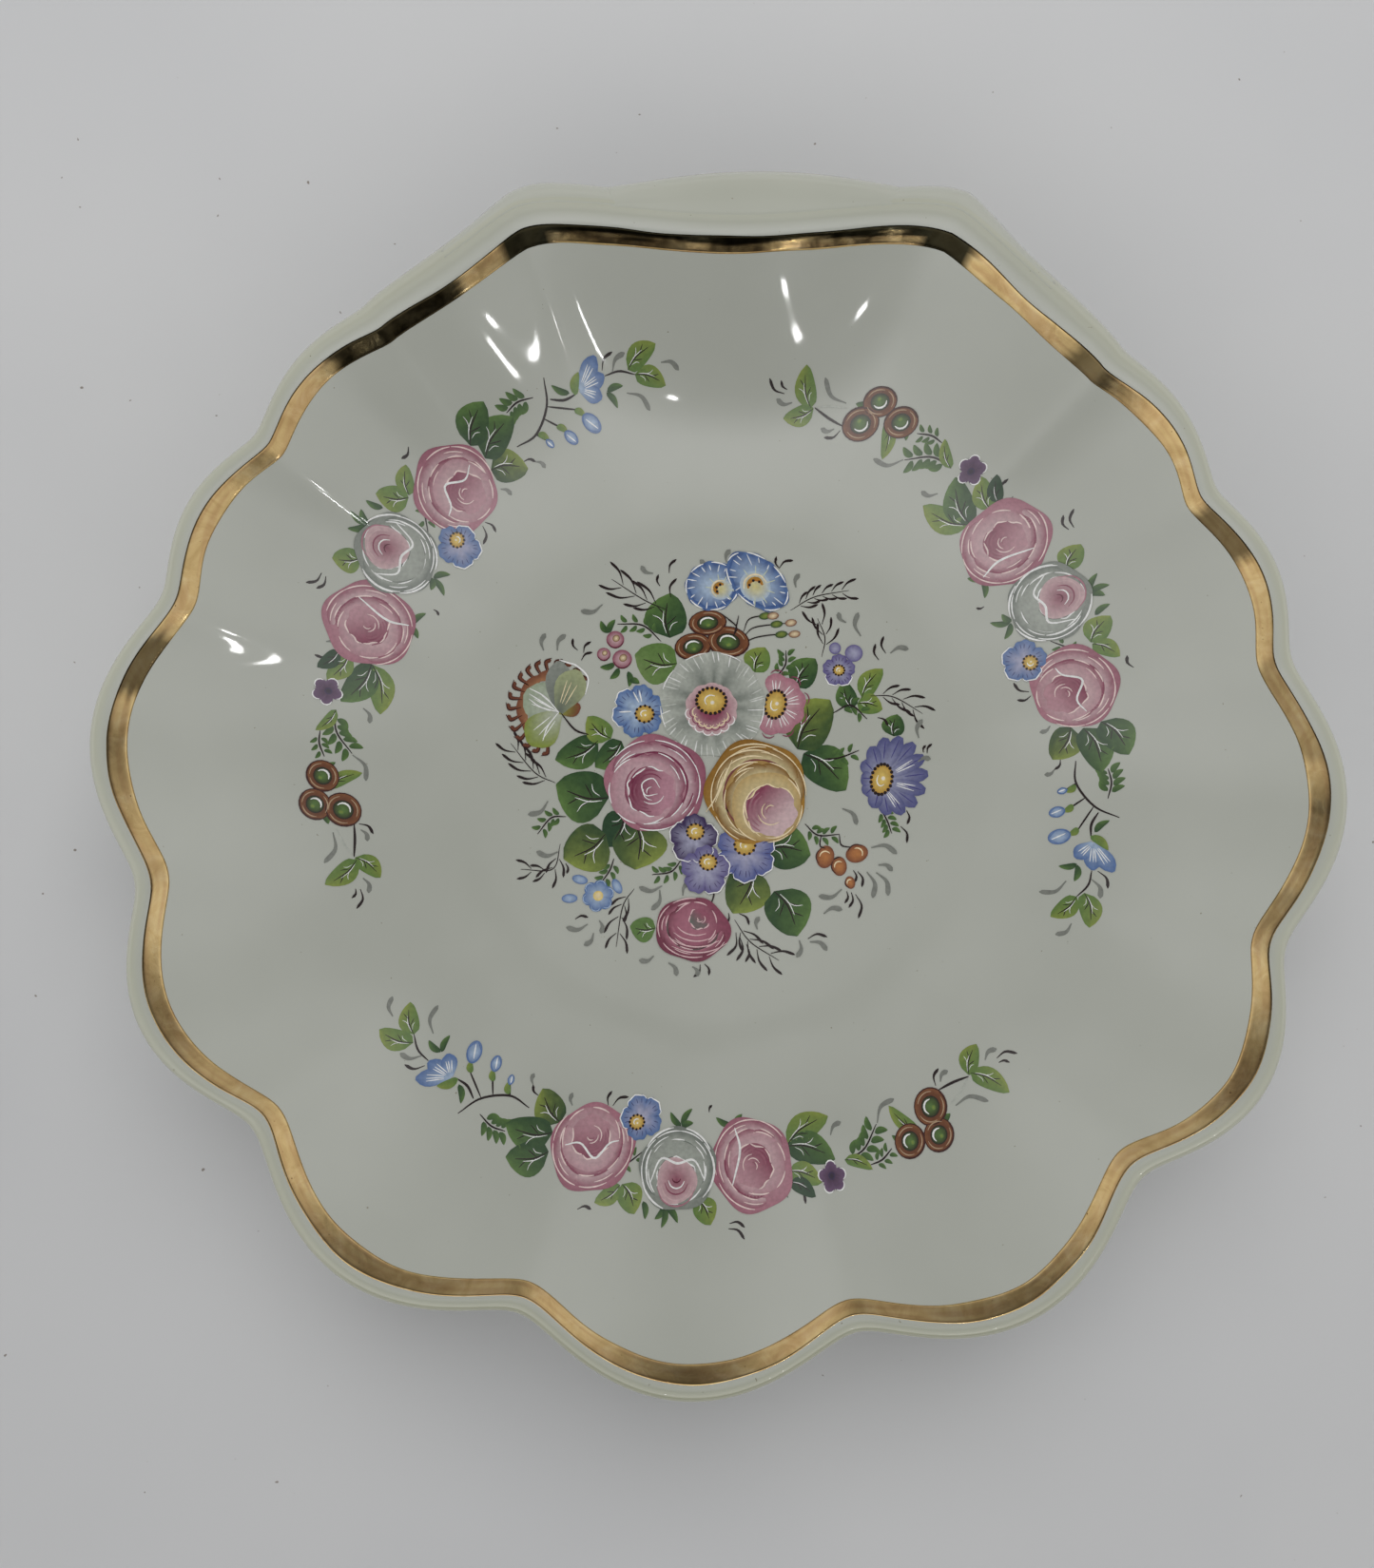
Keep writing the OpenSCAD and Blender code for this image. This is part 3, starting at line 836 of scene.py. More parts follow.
def primula(e, at, radius, eye_at, turn, petals, inner, outer, edging):
    """A small flat flower of notched petals with a dotted yellow eye. The petals whose middles lie
    between the two angles of edging have a white edge."""
    def reach(a):
        notch = 0.20 * abs(math.cos(petals * a / 2)) ** 0.6
        return radius * (0.80 + notch + 0.03 * math.cos(3 * petals * a))

    def tint(a, s):
        fold = 0.25 * (1 - abs(math.cos(petals * a / 2)))
        return mix_each(inner, outer, min(1, max(0, s * 1.3 - 0.3 + fold)))
    e.shape(at, reach, tint, 2, 18, turn)
    for k in range(4 * petals):
        a = 90 * k / petals + e.chance.uniform(-4, 4)
        e.stroke([around(at, radius * 0.6, a, 1, turn), around(at, radius * 0.82, a, 1, turn)], 0.2,
                 mix_each(outer, PLUM, 0.6), level=3)
    for k in range(petals):
        middle = 360 * k / petals
        if edging[0] <= (middle - edging[0]) % 360 + edging[0] <= edging[1]:
            sweep = [middle + d * 360 / petals for d in (-0.47, -0.36, -0.2, 0, 0.2, 0.36, 0.47)]
            e.stroke([around(at, 0.98 * reach(math.radians(t)), t, 1, turn) for t in sweep], 0.28, WHITE,
                     level=4)
    e.eye(eye_at, radius * 0.36, 0.9, 0, 12)


def berry(e, at, radius, turn, squash):
    """A ring-shaped berry: brown rim, dark edge, green middle with a bright glint."""
    e.oval(at, radius * 1.08, squash, turn, MAROON, MAROON, 2)
    e.oval(at, radius, squash, turn, MAROON, mix_each(RUST, OCHRE, 0.12), 3, 8)
    for start in (20, 150, 250):
        e.arc(at, radius * 0.84, start, start + 84, 0.24, mix_each(RUST, CREAM, 0.4), level=4,
              squash=squash, turn=turn)
    e.arc(at, radius, 190, 350, 0.3, MAROON, level=4, squash=squash, turn=turn)
    e.oval(at, radius * 0.6, squash, turn, GREEN, BLACK, 4)
    e.arc(at, radius * 0.42, 30, 190, 0.42, WHITE, level=5, squash=squash, turn=turn)
    e.oval(around(at, radius * 0.2, 280, squash, turn), radius * 0.16, squash, turn, OLIVE, GREEN, 5, 2)


def twig_sides(points, pairs):
    """Where things leave a twig in pairs: the point, the twig's heading there and the side."""
    path = along(points, pairs + 2)
    for before, at, after in zip(path, path[1:], path[2:]):
        heading = math.degrees(math.atan2(after[1] - before[1], after[0] - before[0]))
        yield from ((at, heading, way) for way in (1, -1))


def sprig(e, points, side, count):
    """A twig with short strokes leaving it on both sides."""
    e.stroke(points, 0.26, BLACK, level=2)
    for at, heading, way in twig_sides(points, count):
        reach = side * e.chance.uniform(1.6, 2.2)
        a = heading + way * (25 + e.chance.uniform(-4, 4))
        e.comma(around(at, 0.9, a), around(at, reach, a), 0.95, BLACK, 2, 0.12 * way)


def leafy_twig(e, points, count, size):
    """A dark twig with small plain leaves in pairs."""
    e.stroke(points, 0.38, BLACK, level=2)
    for at, heading, way in twig_sides(points, count):
        start = around(at, 0.5, heading + 60 * way)
        e.leaf(start, around(start, size * 0.85, heading + 48 * way), size * 0.4, GREEN,
               mix_each(GREEN, DEEP, 0.7), veins=0)


# ---------------------------------------------------------------- the bouquet in the well
def bouquet_piece(name, base=0):
    return Enamel("bouquet_" + name, "bouquet_transfer", "bouquet_enamel", base=base)


# Each leaf: stem end, tip, width, and its brighter and deeper greens.
BOUQUET_LEAVES = [
    ((-12.5, 32.5), (-13, 43), 10, GREEN, DEEP), ((-10.5, 26.5), (-20.5, 28), 10, ink(98, 118, 72), GREEN),
    ((8, 25.5), (10, 31.5), 6.5, OLIVE, GREEN), ((18, 22.5), (22, 29.5), 7, GREEN, DEEP),
    ((31.5, 18.3), (29, 24.5), 5, GREEN, DEEP), ((33.5, 21), (38, 28), 5, OLIVE, GREEN),
    ((32.5, 19.5), (38.5, 18.5), 5, OLIVE, GREEN), ((41.5, 12.3), (42, 17.5), 5.5, GREEN, DEEP),
    ((20.5, 7), (31, -1), 10, GREEN, DEEP), ((19, 8), (26, 20), 11.5, OLIVE, DEEP),
    ((13.5, -16), (23.5, -16.7), 10.5, GREEN, DEEP), ((10, -20.5), (6, -31.5), 11, OLIVE, DEEP),
    ((15.5, -25.8), (21.5, -36), 11, GREEN, DEEP), ((-28, 7.3), (-37.8, 2.2), 7.5, GREEN, DEEP),
    ((-22.5, 7.5), (-28.3, 1), 6.5, GREEN, DEEP), ((-25, 8), (-30.8, 12.8), 6, OLIVE, GREEN),
    ((-24.8, -6), (-37.3, -3.6), 12.5, GREEN, DEEP), ((-21, -9), (-24, -17.5), 9, DEEP, DEEP),
    ((-25, -14.5), (-34.5, -21), 11.5, OLIVE, DEEP), ((-18, -12), (-17.5, -22.5), 13, OLIVE, DEEP),
    ((-12, -36), (-18, -36), 6, GREEN, GREEN)]

# Each dark twig: its points, the reach of its side strokes, and how many pairs it has.
BOUQUET_SPRIGS = [
    ([(15.5, 40.5), (21, 44), (29, 46)], 2.4, 6), ([(23.5, 30), (24, 34.5), (22, 39)], 2.8, 3),
    ([(35.5, 21.5), (41, 21.5), (48, 18)], 3.0, 4), ([(-13.5, 39), (-19, 41), (-27, 45.5)], 3.6, 4),
    ([(-37.5, -3.2), (-42.5, -1), (-48.5, 5.5)], 3.4, 5),
    ([(-35.5, -17.5), (-37, -23.5), (-44.5, -24)], 2.6, 4),
    ([(-17.5, -27), (-20, -31.5), (-21, -41)], 3.0, 4), ([(6.5, -33), (10.5, -38), (17.5, -42)], 3.2, 4)]

# Each leafy twig: its points, and how many pairs of small leaves it has.
BOUQUET_TWIGS = [
    ([(-14.5, 31.5), (-19, 35), (-25, 35)], 4), ([(-34.5, -11), (-38, -11.5), (-41, -15.5)], 4),
    ([(-6.5, -19), (-9, -22.5), (-13.5, -23.5)], 4), ([(21.8, -9.5), (25, -12), (30, -11.5)], 4),
    ([(39, -4.5), (41, -7.5), (42.3, -10.6)], 4), ([(25.5, 6), (29, 6.5), (33.5, 8.5)], 3),
    ([(12.5, 24), (15, 27.5), (15, 31)], 4), ([(-22.7, -20.2), (-23.5, -23), (-25.5, -26.3)], 3),
    ([(27, 17), (31, 19), (35, 16)], 3)]

# Loose strokes: where each starts and ends.
BOUQUET_DARK_STROKES = [
    ((-13.5, 47.7), (-12, 51)), ((-12.8, 42), (-11.7, 46.5)), ((-15.5, 44.5), (-16, 47.2)),
    ((-34, 28.3), (-35.3, 31)), ((-32.6, 27.8), (-31, 30.5)), ((-33, 26), (-30.5, 28)),
    ((12.3, 50.3), (11.5, 53)), ((12.3, 50.3), (15.5, 52.3)), ((38.5, 31.7), (37.8, 35.7)),
    ((37, 30), (36, 33.8)), ((49.6, 8.7), (50.6, 11)), ((48.7, 8.9), (49.2, 10.6)),
    ((34.8, -20), (36, -23.6)), ((33.8, -19.8), (34.3, -22.6)), ((32.5, -24.8), (32.2, -27.6)),
    ((33.6, -25), (33.2, -28.6)), ((34.6, -25.4), (35.6, -31)), ((24, -36.5), (28.5, -35.8)),
    ((45.5, -5), (45.8, -8.2)), ((44.3, -8.8), (46, -12.6)), ((-1, -44), (-2.4, -47)),
    ((0, -43.8), (1.2, -46.4)), ((-31, -35), (-28, -34.4)), ((-34, -22), (-33.6, -24.4)),
    ((7, -36), (5.2, -41.5)), ((8, -37), (7.5, -42.6)), ((9.6, -38.6), (9.6, -42.8)),
    ((5, -31.5), (4.4, -34)), ((7.5, -31.5), (10, -34)), ((37.5, 16.5), (40, 14.6))]
BOUQUET_GREY_STROKES = [
    ((-17.3, 47.4), (-20.2, 49)), ((-28.8, 39.4), (-33.8, 37.6)), ((-42, 27.8), (-41.8, 31.8)),
    ((-38.8, 28), (-37, 31.8)), ((-0.2, 51), (0.6, 54)), ((-4.2, 50.5), (-6.4, 51.2)),
    ((16.5, 46), (17.2, 49.2)),
    ((28.8, 38.4), (26.8, 40.7)), ((32.4, 35.4), (31.5, 40.9)), ((39.6, 31.8), (43.8, 33)),
    ((47.4, 12.2), (48, 16.6)), ((47.5, 6.6), (50.5, 7.4)), ((31.3, -24.4), (26, -26.3)),
    ((27.4, -30.4), (31.7, -29.2)), ((24.5, -37.2), (28.7, -39)), ((22, -37), (21.6, -41)),
    ((37, -20), (38.7, -26)), ((39.2, -20), (42.3, -25.3)), ((37.7, -14.2), (43.8, -15.3)),
    ((39.6, -18.2), (43, -19.4)), ((30.4, -5.4), (34, -9)), ((12, -35), (12.3, -32)),
    ((-6, -28), (-4.3, -24.6)),
    ((-11, -26), (-16.4, -26.6)), ((-11.5, -27), (-13.2, -31.8)), ((-28, -36), (-33, -37)),
    ((-26.5, -38), (-28.6, -41)), ((-25.3, -35), (-24.8, -38)), ((-12, -42.6), (-15.4, -43.8)),
    ((-8.5, -44), (-6.4, -47)), ((-2.8, -44.6), (-1.4, -46.8)), ((-39, -7.6), (-43.5, -11)),
    ((-36, -19.4), (-41, -19.6))]


def bouquet_greenery():
    e = bouquet_piece("leaves")
    for base, tip, width, bright, deep in BOUQUET_LEAVES:
        e.leaf(base, tip, width, bright, deep)
    e = bouquet_piece("sprigs")
    for points, side, count in BOUQUET_SPRIGS:
        sprig(e, points, side, count)
    for points, count in BOUQUET_TWIGS:
        leafy_twig(e, points, count, 2.6)
    e.commas(BOUQUET_DARK_STROKES, 0.95, BLACK)
    e.commas(BOUQUET_GREY_STROKES, 1.8, SHADOW)
    e.stems((0.4, (1, -25), (1.3, -27.5), (0.6, -30)), (0.45, (-30.3, 8.6), (-33.6, 9.6), (-37, 13.2)))


def bouquet_bindweed():
    e = bouquet_piece("bindweed_right", 26)
    bindweed(e, (7.3, 46.9), 8.7, (6.9, 45.7), -38, 0.62)
    e = bouquet_piece("bindweed_left", 16)
    bindweed(e, (-3.2, 45.2), 6.4, (-1.2, 44.6), 10, 0.9)
    for tip in ((1, 37.5), (3.4, 38.6), (-0.6, 38.8)):
        e.stroke([(2.4, 33.6), (3, 36), tip], 0.3, BLACK, level=2)


def bouquet_berries():
    e = bouquet_piece("berries", 8)
    for at, radius, turn, squash in (((-3.8, 36.5), 4.2, 8, 0.66), ((-6.9, 30.7), 4.1, 12, 0.72),
                                     ((1.3, 32.3), 4.7, -4, 0.72)):
        berry(e, at, radius, turn, squash)
    e = bouquet_piece("stemmed_buds", 8)
    for green, end in (((8.6, 38.8), (11.5, 39)), ((10.6, 36.8), (15.8, 37.6)), ((12, 34.6), (16.8, 35))):
        root = (4.8, 32 + (green[1] - 34.6) * 0.7)
        e.stroke([root, ((green[0] + 3) / 2, green[1] - 1), green, end], 0.3, BLACK)
        e.oval(mix_each(green, end, 0.35), 1.5, 0.55, 10, OLIVE, DEEP, 4, 4)
        e.oval(end, 1.4, 0.6, 10, CREAM, RUST, 4, 4)
    e = bouquet_piece("pink_buds", 8)
    for at, radius in (((-25.3, 31.3), 2.1), ((-27.8, 27.7), 1.6), ((-23.4, 26.8), 2.3)):
        e.oval(at, radius, 0.95, 0, BLUSH, RASPBERRY, 2)
        e.oval((at[0] + 0.2, at[1] + 0.3), radius * 0.42, 0.9, 40, CREAM, UMBER, 3, 4)
        e.arc(at, radius * 0.92, 200, 350, 0.3, WINE, level=3)
    for base, tip in (((-27, 32.8), (-29, 35.5)), ((-27, 32.8), (-25.6, 36)), ((-25, 25.6), (-28.5, 24.6)),
                      ((-24, 24.6), (-26, 22)), ((-21.8, 24), (-21.4, 20.4)), ((-21.4, 22), (-19, 21.4))):
        e.leaf(base, tip, 1.5, GREEN, DEEP, veins=0)


def bouquet_tulip():
    e = bouquet_piece("tulip", 8)
    heart = (-37.6, 13.5)
    middle = (-39.5, 14.5)
    for a in range(40, 278, 14):
        root, bend = around(middle, 7, a, 1.1), around(middle, 9.6, a + 4, 1.1)
        e.stroke([root, bend, around(bend, 1.3, a - 60)], 1.5, RUST, mix_each(RUST, MAROON, 0.6), 1,
                 comma_form)
        e.stroke([around(root, 0.4, a + 90), around(bend, 0.5, a + 60), around(bend, 1.7, a - 50)], 0.34,
                 MAROON, level=2)
    for start in (66, 112, 158, 204):
        e.arc(middle, 6.9, start, start + 58, 2.6, ink(140, 100, 72), RUST, 1, 1.1)
    e.petal(heart, (-45.8, 17.8), 9, PEARL, ink(138, 148, 128), 2, WHITE, 0.7)
    e.petal(heart, (-44.2, 5.6), 8.5, PEARL, OLIVE, 2, WHITE, 0.7)
    e.petal(heart, (-38.2, 25.5), 6.5, SLATE, PEWTER, 3, None, 0.7)
    e.petal(heart, (-33.6, 23.6), 7.5, SLATE, ink(140, 146, 112), 4, CREAM, 0.7)
    e.petal(heart, (-32.6, 15.2), 4, OLIVE, RUST, 3, None, 0.7)
    e.stroke([(-38.2, 25.8), (-36, 25.2), (-34, 24.6), (-31.2, 22), (-31.6, 18)], 0.45, WHITE, level=5)
    for bow in (-1.2, 0, 1.3):
        e.stroke([heart, (-41.5 + 0.3 * bow, 15.6 + bow), (-44.8, 17.4 + bow)], 0.32, WHITE, level=5)
    e.stroke([heart, (-40, 10), (-41, 6.5)], 0.3, WHITE, level=5)


def bouquet_blue_flowers():
    e = bouquet_piece("blue_flower", 8)
    primula(e, (-19, 14.8), 6.3, (-17.4, 14.2), 80, 6, SKY, BLUE, (60, 130))
    for a in (95, 110, 175):
        e.stroke([around((-18, 14.4), 2.6, a), around((-18, 14.4), 5.4, a + 6)], 0.34, WHITE, level=4)
    e = bouquet_piece("light_blue_flower", 8)
    middle = (-25.9, -29.2)
    for a in range(20, 380, 60):
        e.petal(around(middle, 0.7, a), around(middle, 3.8, a), 3.1, SKY, BLUE, 1, None)
        e.arc(around(middle, 2.6, a), 1.1, a - 80, a + 80, 0.22, SKY, level=3)
    e.oval(middle, 1.2, 1, 0, CREAM, GOLDEN, 4, 4)
    for at, turn in (((-30.4, -25.6), -10), ((-32.6, -30.2), 5), ((-21.6, -26.7), 120)):
        e.oval(at, 1.9, 0.55, turn, SKY, BLUE, 1, 5)
    e = bouquet_piece("violets", 8)
    primula(e, (27.7, 27), 3.9, (27.7, 27.1), 20, 5, MAUVE, VIOLET, (150, 330))
    e.oval((31, 31.3), 2.1, 0.95, 0, MAUVE, VIOLET, 2)
    e.oval((26.5, 32.2), 1.4, 1, 0, MAUVE, VIOLET, 2, 4)
    e = bouquet_piece("primulas", 32)
    primula(e, (8.3, -17), 7.2, (7.9, -15.3), 90, 6, MAUVE, ink(78, 86, 132), (90, 320))
    primula(e, (-4.2, -14.6), 5.9, (-3.9, -12.8), 90, 5, MAUVE, PLUM, (70, 300))
    primula(e, (-1, -21.8), 5.9, (-0.5, -19.8), 90, 5, MAUVE, VIOLET, (190, 350))
    e = bouquet_piece("blue_daisy", 8)
    eye = (39.2, 2)
    for k in range(14):
        a = 360 * k / 14 + 6
        tip = around((42.2, 3), 7.9, a, 1.18)
        streaked = k % 2 and -100 < (a if a <= 180 else a - 360) < 60
        e.petal(around(eye, 2, a), tip, 3.6, ink(136, 138, 158), ink(80, 82, 120), 1 + k % 2,
                WHITE if streaked else None, 0.42)
        e.stroke([mix_each(eye, tip, 0.5), mix_each(eye, tip, 0.93)], 0.26, ink(64, 62, 112), level=3)
    e.eye(eye, 3.8, 0.68, 82, 20)


def bouquet_pearl_flower():
    """The big grey-white flower with a pink ruff round its eye."""
    e = bouquet_piece("pearl_flower", 16)
    at, ruff = (-1.6, 17.3), (-1.8, 16.2)

    def tint(a, s):
        fold = 0.5 + 0.5 * math.sin(11 * a + 1.5 * math.sin(4 * a))
        return mix_each(mix_each(SLATE, PEWTER, fold), PEARL, min(1, max(0, 1.25 * s - 0.45 + 0.2 * fold)))
    e.shape(at, lambda a: 12.6 * (0.97 + 0.03 * math.sin(9 * a)), tint, 1, 30)
    for k in range(46):
        a = 360 * k / 46 + e.chance.uniform(-3, 3)
        inner = e.chance.uniform(0.66, 0.82)
        e.stroke([around(at, 12.6 * inner, a - 3), around(at, 12.4, a)], 0.2 + 0.14 * e.chance.random(),
                 mix_each(PEARL, WHITE, e.chance.random()), level=3)
    for start in (60, 100, 142, 185, 228, 300, 338):
        e.arc(at, 12.2, start, start + 24, 0.3, WHITE, level=3)
    e.shape(ruff, lambda a: 6.3 * (0.93 + 0.07 * abs(math.sin(5 * a))),
            lambda a, s: mix_each(RASPBERRY, BLUSH, min(1, max(0, s * 1.6 - 0.6))), 4, 16)
    for reach, tone in ((6.1, WHITE), (5.0, RASPBERRY), (4.4, CREAM)):
        for a in range(195, 356, 23):
            e.arc(around(ruff, reach - 1.1, a), 1.2, a - 80, a + 80, 0.28, tone, level=5)
    for a in range(20, 176, 26):
        e.arc(around(ruff, 5, a), 1.1, a - 70, a + 70, 0.22, BLUSH, level=5)
    e.eye((-1.9, 18.2), 3.7, 0.86, 0, 20, 6)


def bouquet_pink_daisy():
    e = bouquet_piece("pink_daisy", 8)
    eye = (13.2, 18.2)
    for k, a in enumerate(range(-100, 128, 38)):
        e.petal(around(eye, 1.8, a), around(eye, 7.3, a), 5.4, BLUSH, PINK, 1 + k % 2, WHITE)
        e.arc(around(eye, 6.4, a), 1.7, a - 60, a + 60, 0.3, RASPBERRY, level=4)
    e.eye(eye, 3.5, 0.74, 80, 18, 5)


def bouquet_roses():
    e = bouquet_piece("ochre_rose", 42)
    rose(e, (9.8, -2.5), 12.4, (2.7, -3.5, 8.6), (3.8, -4.4, 6.4), 125, OCHRE, ink(182, 170, 132), UMBER,
         CREAM, RASPBERRY, 1.02, ink(180, 156, 158))
    e.arc((13.6, -6.9), 6.5, 100, 250, 0.4, CREAM, level=10)
    e.arc((13.6, -6.9), 6.4, 262, 330, 0.36, CREAM, level=10)
    for k in range(5):
        e.arc((9.4, -3.4), 12 - 1.4 * k, 66 + 7 * k, 122 + 5 * k, 0.36, CREAM, level=6)
    for k in range(3):
        points = [(-1.6 + k, -8 + 1.2 * k), (0.6 + 0.8 * k, -4 + 2 * k), (1.8 + k, 0.6 + 2 * k)]
        e.stroke(points, 0.32, CREAM, level=6)
    e = bouquet_piece("pink_rose", 24)
    rose(e, (-13.8, -2), 12.4, (-3, -1.8, 8.2), (-0.9, -2, 6), 20, PINK, ink(178, 154, 158),
         ink(108, 50, 72), WHITE, ink(104, 46, 66), soft=ink(160, 118, 130))
    for k in range(4):
        e.arc((-15, -3), 3.2 + 0.9 * k, 40 + 30 * k, 150 + 24 * k, 0.34, ink(118, 60, 80), level=8)
    e.arc((-15, -3), 2.2, 0, 320, 0.3, WHITE, level=9)
    for k in range(5):
        e.arc((-14.6, -2.4), 11.2 - 1.5 * (k % 3), -62 + 30 * k, -38 + 30 * k, 0.42, ink(112, 54, 74),
              level=4)
    e = bouquet_piece("raspberry_rose", 24)
    rose(e, (-3.3, -35.8), 9.2, (0.6, 1.4, 5.2), (1.6, 2.6, 2.6), 215, RASPBERRY, ink(150, 98, 112), WINE,
         ink(196, 166, 168), SLATE, 0.84)
    for k in range(4):
        e.arc((-2.6, -33), 5.2 + 1.7 * k, 215 + 8 * k, 300 + 6 * k, 0.3, ink(196, 166, 168), level=9,
              squash=0.8)
    e = bouquet_piece("orange_buds", 8)
    for at, radius, turn in (((27, -17), 2.7, 80), ((34.4, -15.8), 2.7, 20), ((30.4, -19), 2.3, 100),
                             ((33.2, -22.7), 1.5, 110)):
        e.oval(at, radius, 0.78, turn, ink(162, 108, 64), RUST, 2)
        e.arc(at, radius * 0.5, turn - 40, turn + 100, 0.34, CREAM, level=4)
        e.arc(at, radius * 0.8, turn + 40, turn + 150, 0.3, MAROON, level=3)
    for points in ([(25.8, -11.8), (25.6, -14.4), (27, -15)], [(30, -11.5), (30.6, -14), (33, -14.4)],
                   [(29, -17.6), (29.4, -17.2), (30.5, -16.8)]):
        e.stroke(points, 0.35, BLACK, level=3)


# ---------------------------------------------------------------- the garland, once for each third
# Each leaf as in the bouquet; the leaflets and the loose strokes are a start and an end.
GARLAND_LEAVES = [
    ((-65.2, -62), (-66.8, -55), 4.2, OLIVE, GREEN), ((-65.2, -63.8), (-72.4, -60.7), 4.6, OLIVE, GREEN),
    ((-31, -80.5), (-35.8, -73.8), 7, OLIVE, DEEP), ((-32.5, -82.6), (-43.3, -81.2), 7, GREEN, DEEP),
    ((-33, -86.3), (-42.4, -87.6), 7, GREEN, DEEP), ((-16, -92.7), (-12.8, -98.4), 5.6, OLIVE, GREEN),
    ((-16.5, -92.8), (-21.8, -96), 3.8, OLIVE, GREEN), ((1.2, -95.4), (4.4, -100), 5.4, OLIVE, GREEN),
    ((21, -82.8), (30.2, -76.2), 5.8, OLIVE, GREEN), ((21, -83), (31.8, -84.6), 6.6, GREEN, DEEP),
    ((21.4, -88), (28.8, -89.2), 4.6, OLIVE, GREEN), ((21.8, -90), (27.4, -92), 3.4, DEEP, DEEP),
    ((34, -84.6), (40.2, -86), 2.6, OLIVE, GREEN), ((50.4, -77.4), (44, -73), 3.2, OLIVE, GREEN),
    ((61.4, -64.3), (63, -57.4), 4.2, OLIVE, GREEN), ((61.8, -63.8), (69.6, -66.6), 4.8, OLIVE, GREEN)]
# Each leafy twig: its points, how many pairs of leaves it has, and how big they are.
GARLAND_TWIGS = [
    ([(-49.2, -79.2), (-46.4, -81.6), (-43.2, -82.6)], 4, 3.4),
    ([(-20.5, -87.4), (-16, -88.8), (-11.4, -86)], 3, 2.2),
    ([(34.2, -84.6), (38.4, -82.2), (41.2, -77)], 5, 3.6),
    ([(39.8, -85.2), (42.4, -84), (44.6, -81.6)], 3, 2.2)]
GARLAND_LEAFLETS = [
    ((-59.2, -66), (-62, -63.4)), ((-59, -66), (-57.6, -62.4)), ((-3.4, -80.8), (-6, -78)),
    ((-3.2, -80.8), (-1, -77)), ((-3.2, -81), (-0.6, -80)), ((8.4, -80), (4.6, -78.6)),
    ((9, -80.4), (10.6, -77.4)), ((-6, -96.8), (-8.2, -99.4)), ((-6, -97), (-6.6, -101)),
    ((-5.8, -97), (-3, -100)), ((-5.6, -96.6), (-3, -97)), ((-11, -96), (-10.4, -99.4)),
    ((-54.5, -73), (-53.6, -77)), ((47.8, -80), (44.6, -79)), ((56, -75.4), (57.4, -73))]
GARLAND_DARK_STROKES = [
    ((-62.2, -68.8), (-66.4, -68.4)), ((-20.4, -76.8), (-19.8, -73.8)), ((-19.4, -76.9), (-15.9, -75)),
    ((-25.4, -97), (-22.4, -97.2)), ((8.6, -99.4), (12, -99.8)), ((8.4, -100.4), (12, -102)),
    ((67.2, -59.8), (71.4, -58.2)), ((67.6, -60.7), (69.8, -60.3)), ((54.4, -67.6), (55, -63.8)),
    ((-36.6, -75.2), (-38, -73)), ((23.4, -91), (25.2, -93.6)), ((3, -77.6), (3.6, -76))]
GARLAND_GREY_STROKES = [
    ((-70, -58), (-70.7, -53.8)), ((-61.2, -62), (-60.8, -55.8)), ((-63.2, -66.7), (-67.6, -65.9)),
    ((41.4, -76.8), (45.2, -71.4)), ((58.6, -71.2), (65.4, -69.2)), ((64.8, -60.6), (67.2, -57.8)),
    ((30.8, -80), (33.2, -77.2)), ((-28.6, -77), (-28.8, -74.4)), ((55.4, -66.6), (57, -64)),
    ((-38, -73), (-38, -70.6)), ((21.4, -93), (20.8, -90.8))]


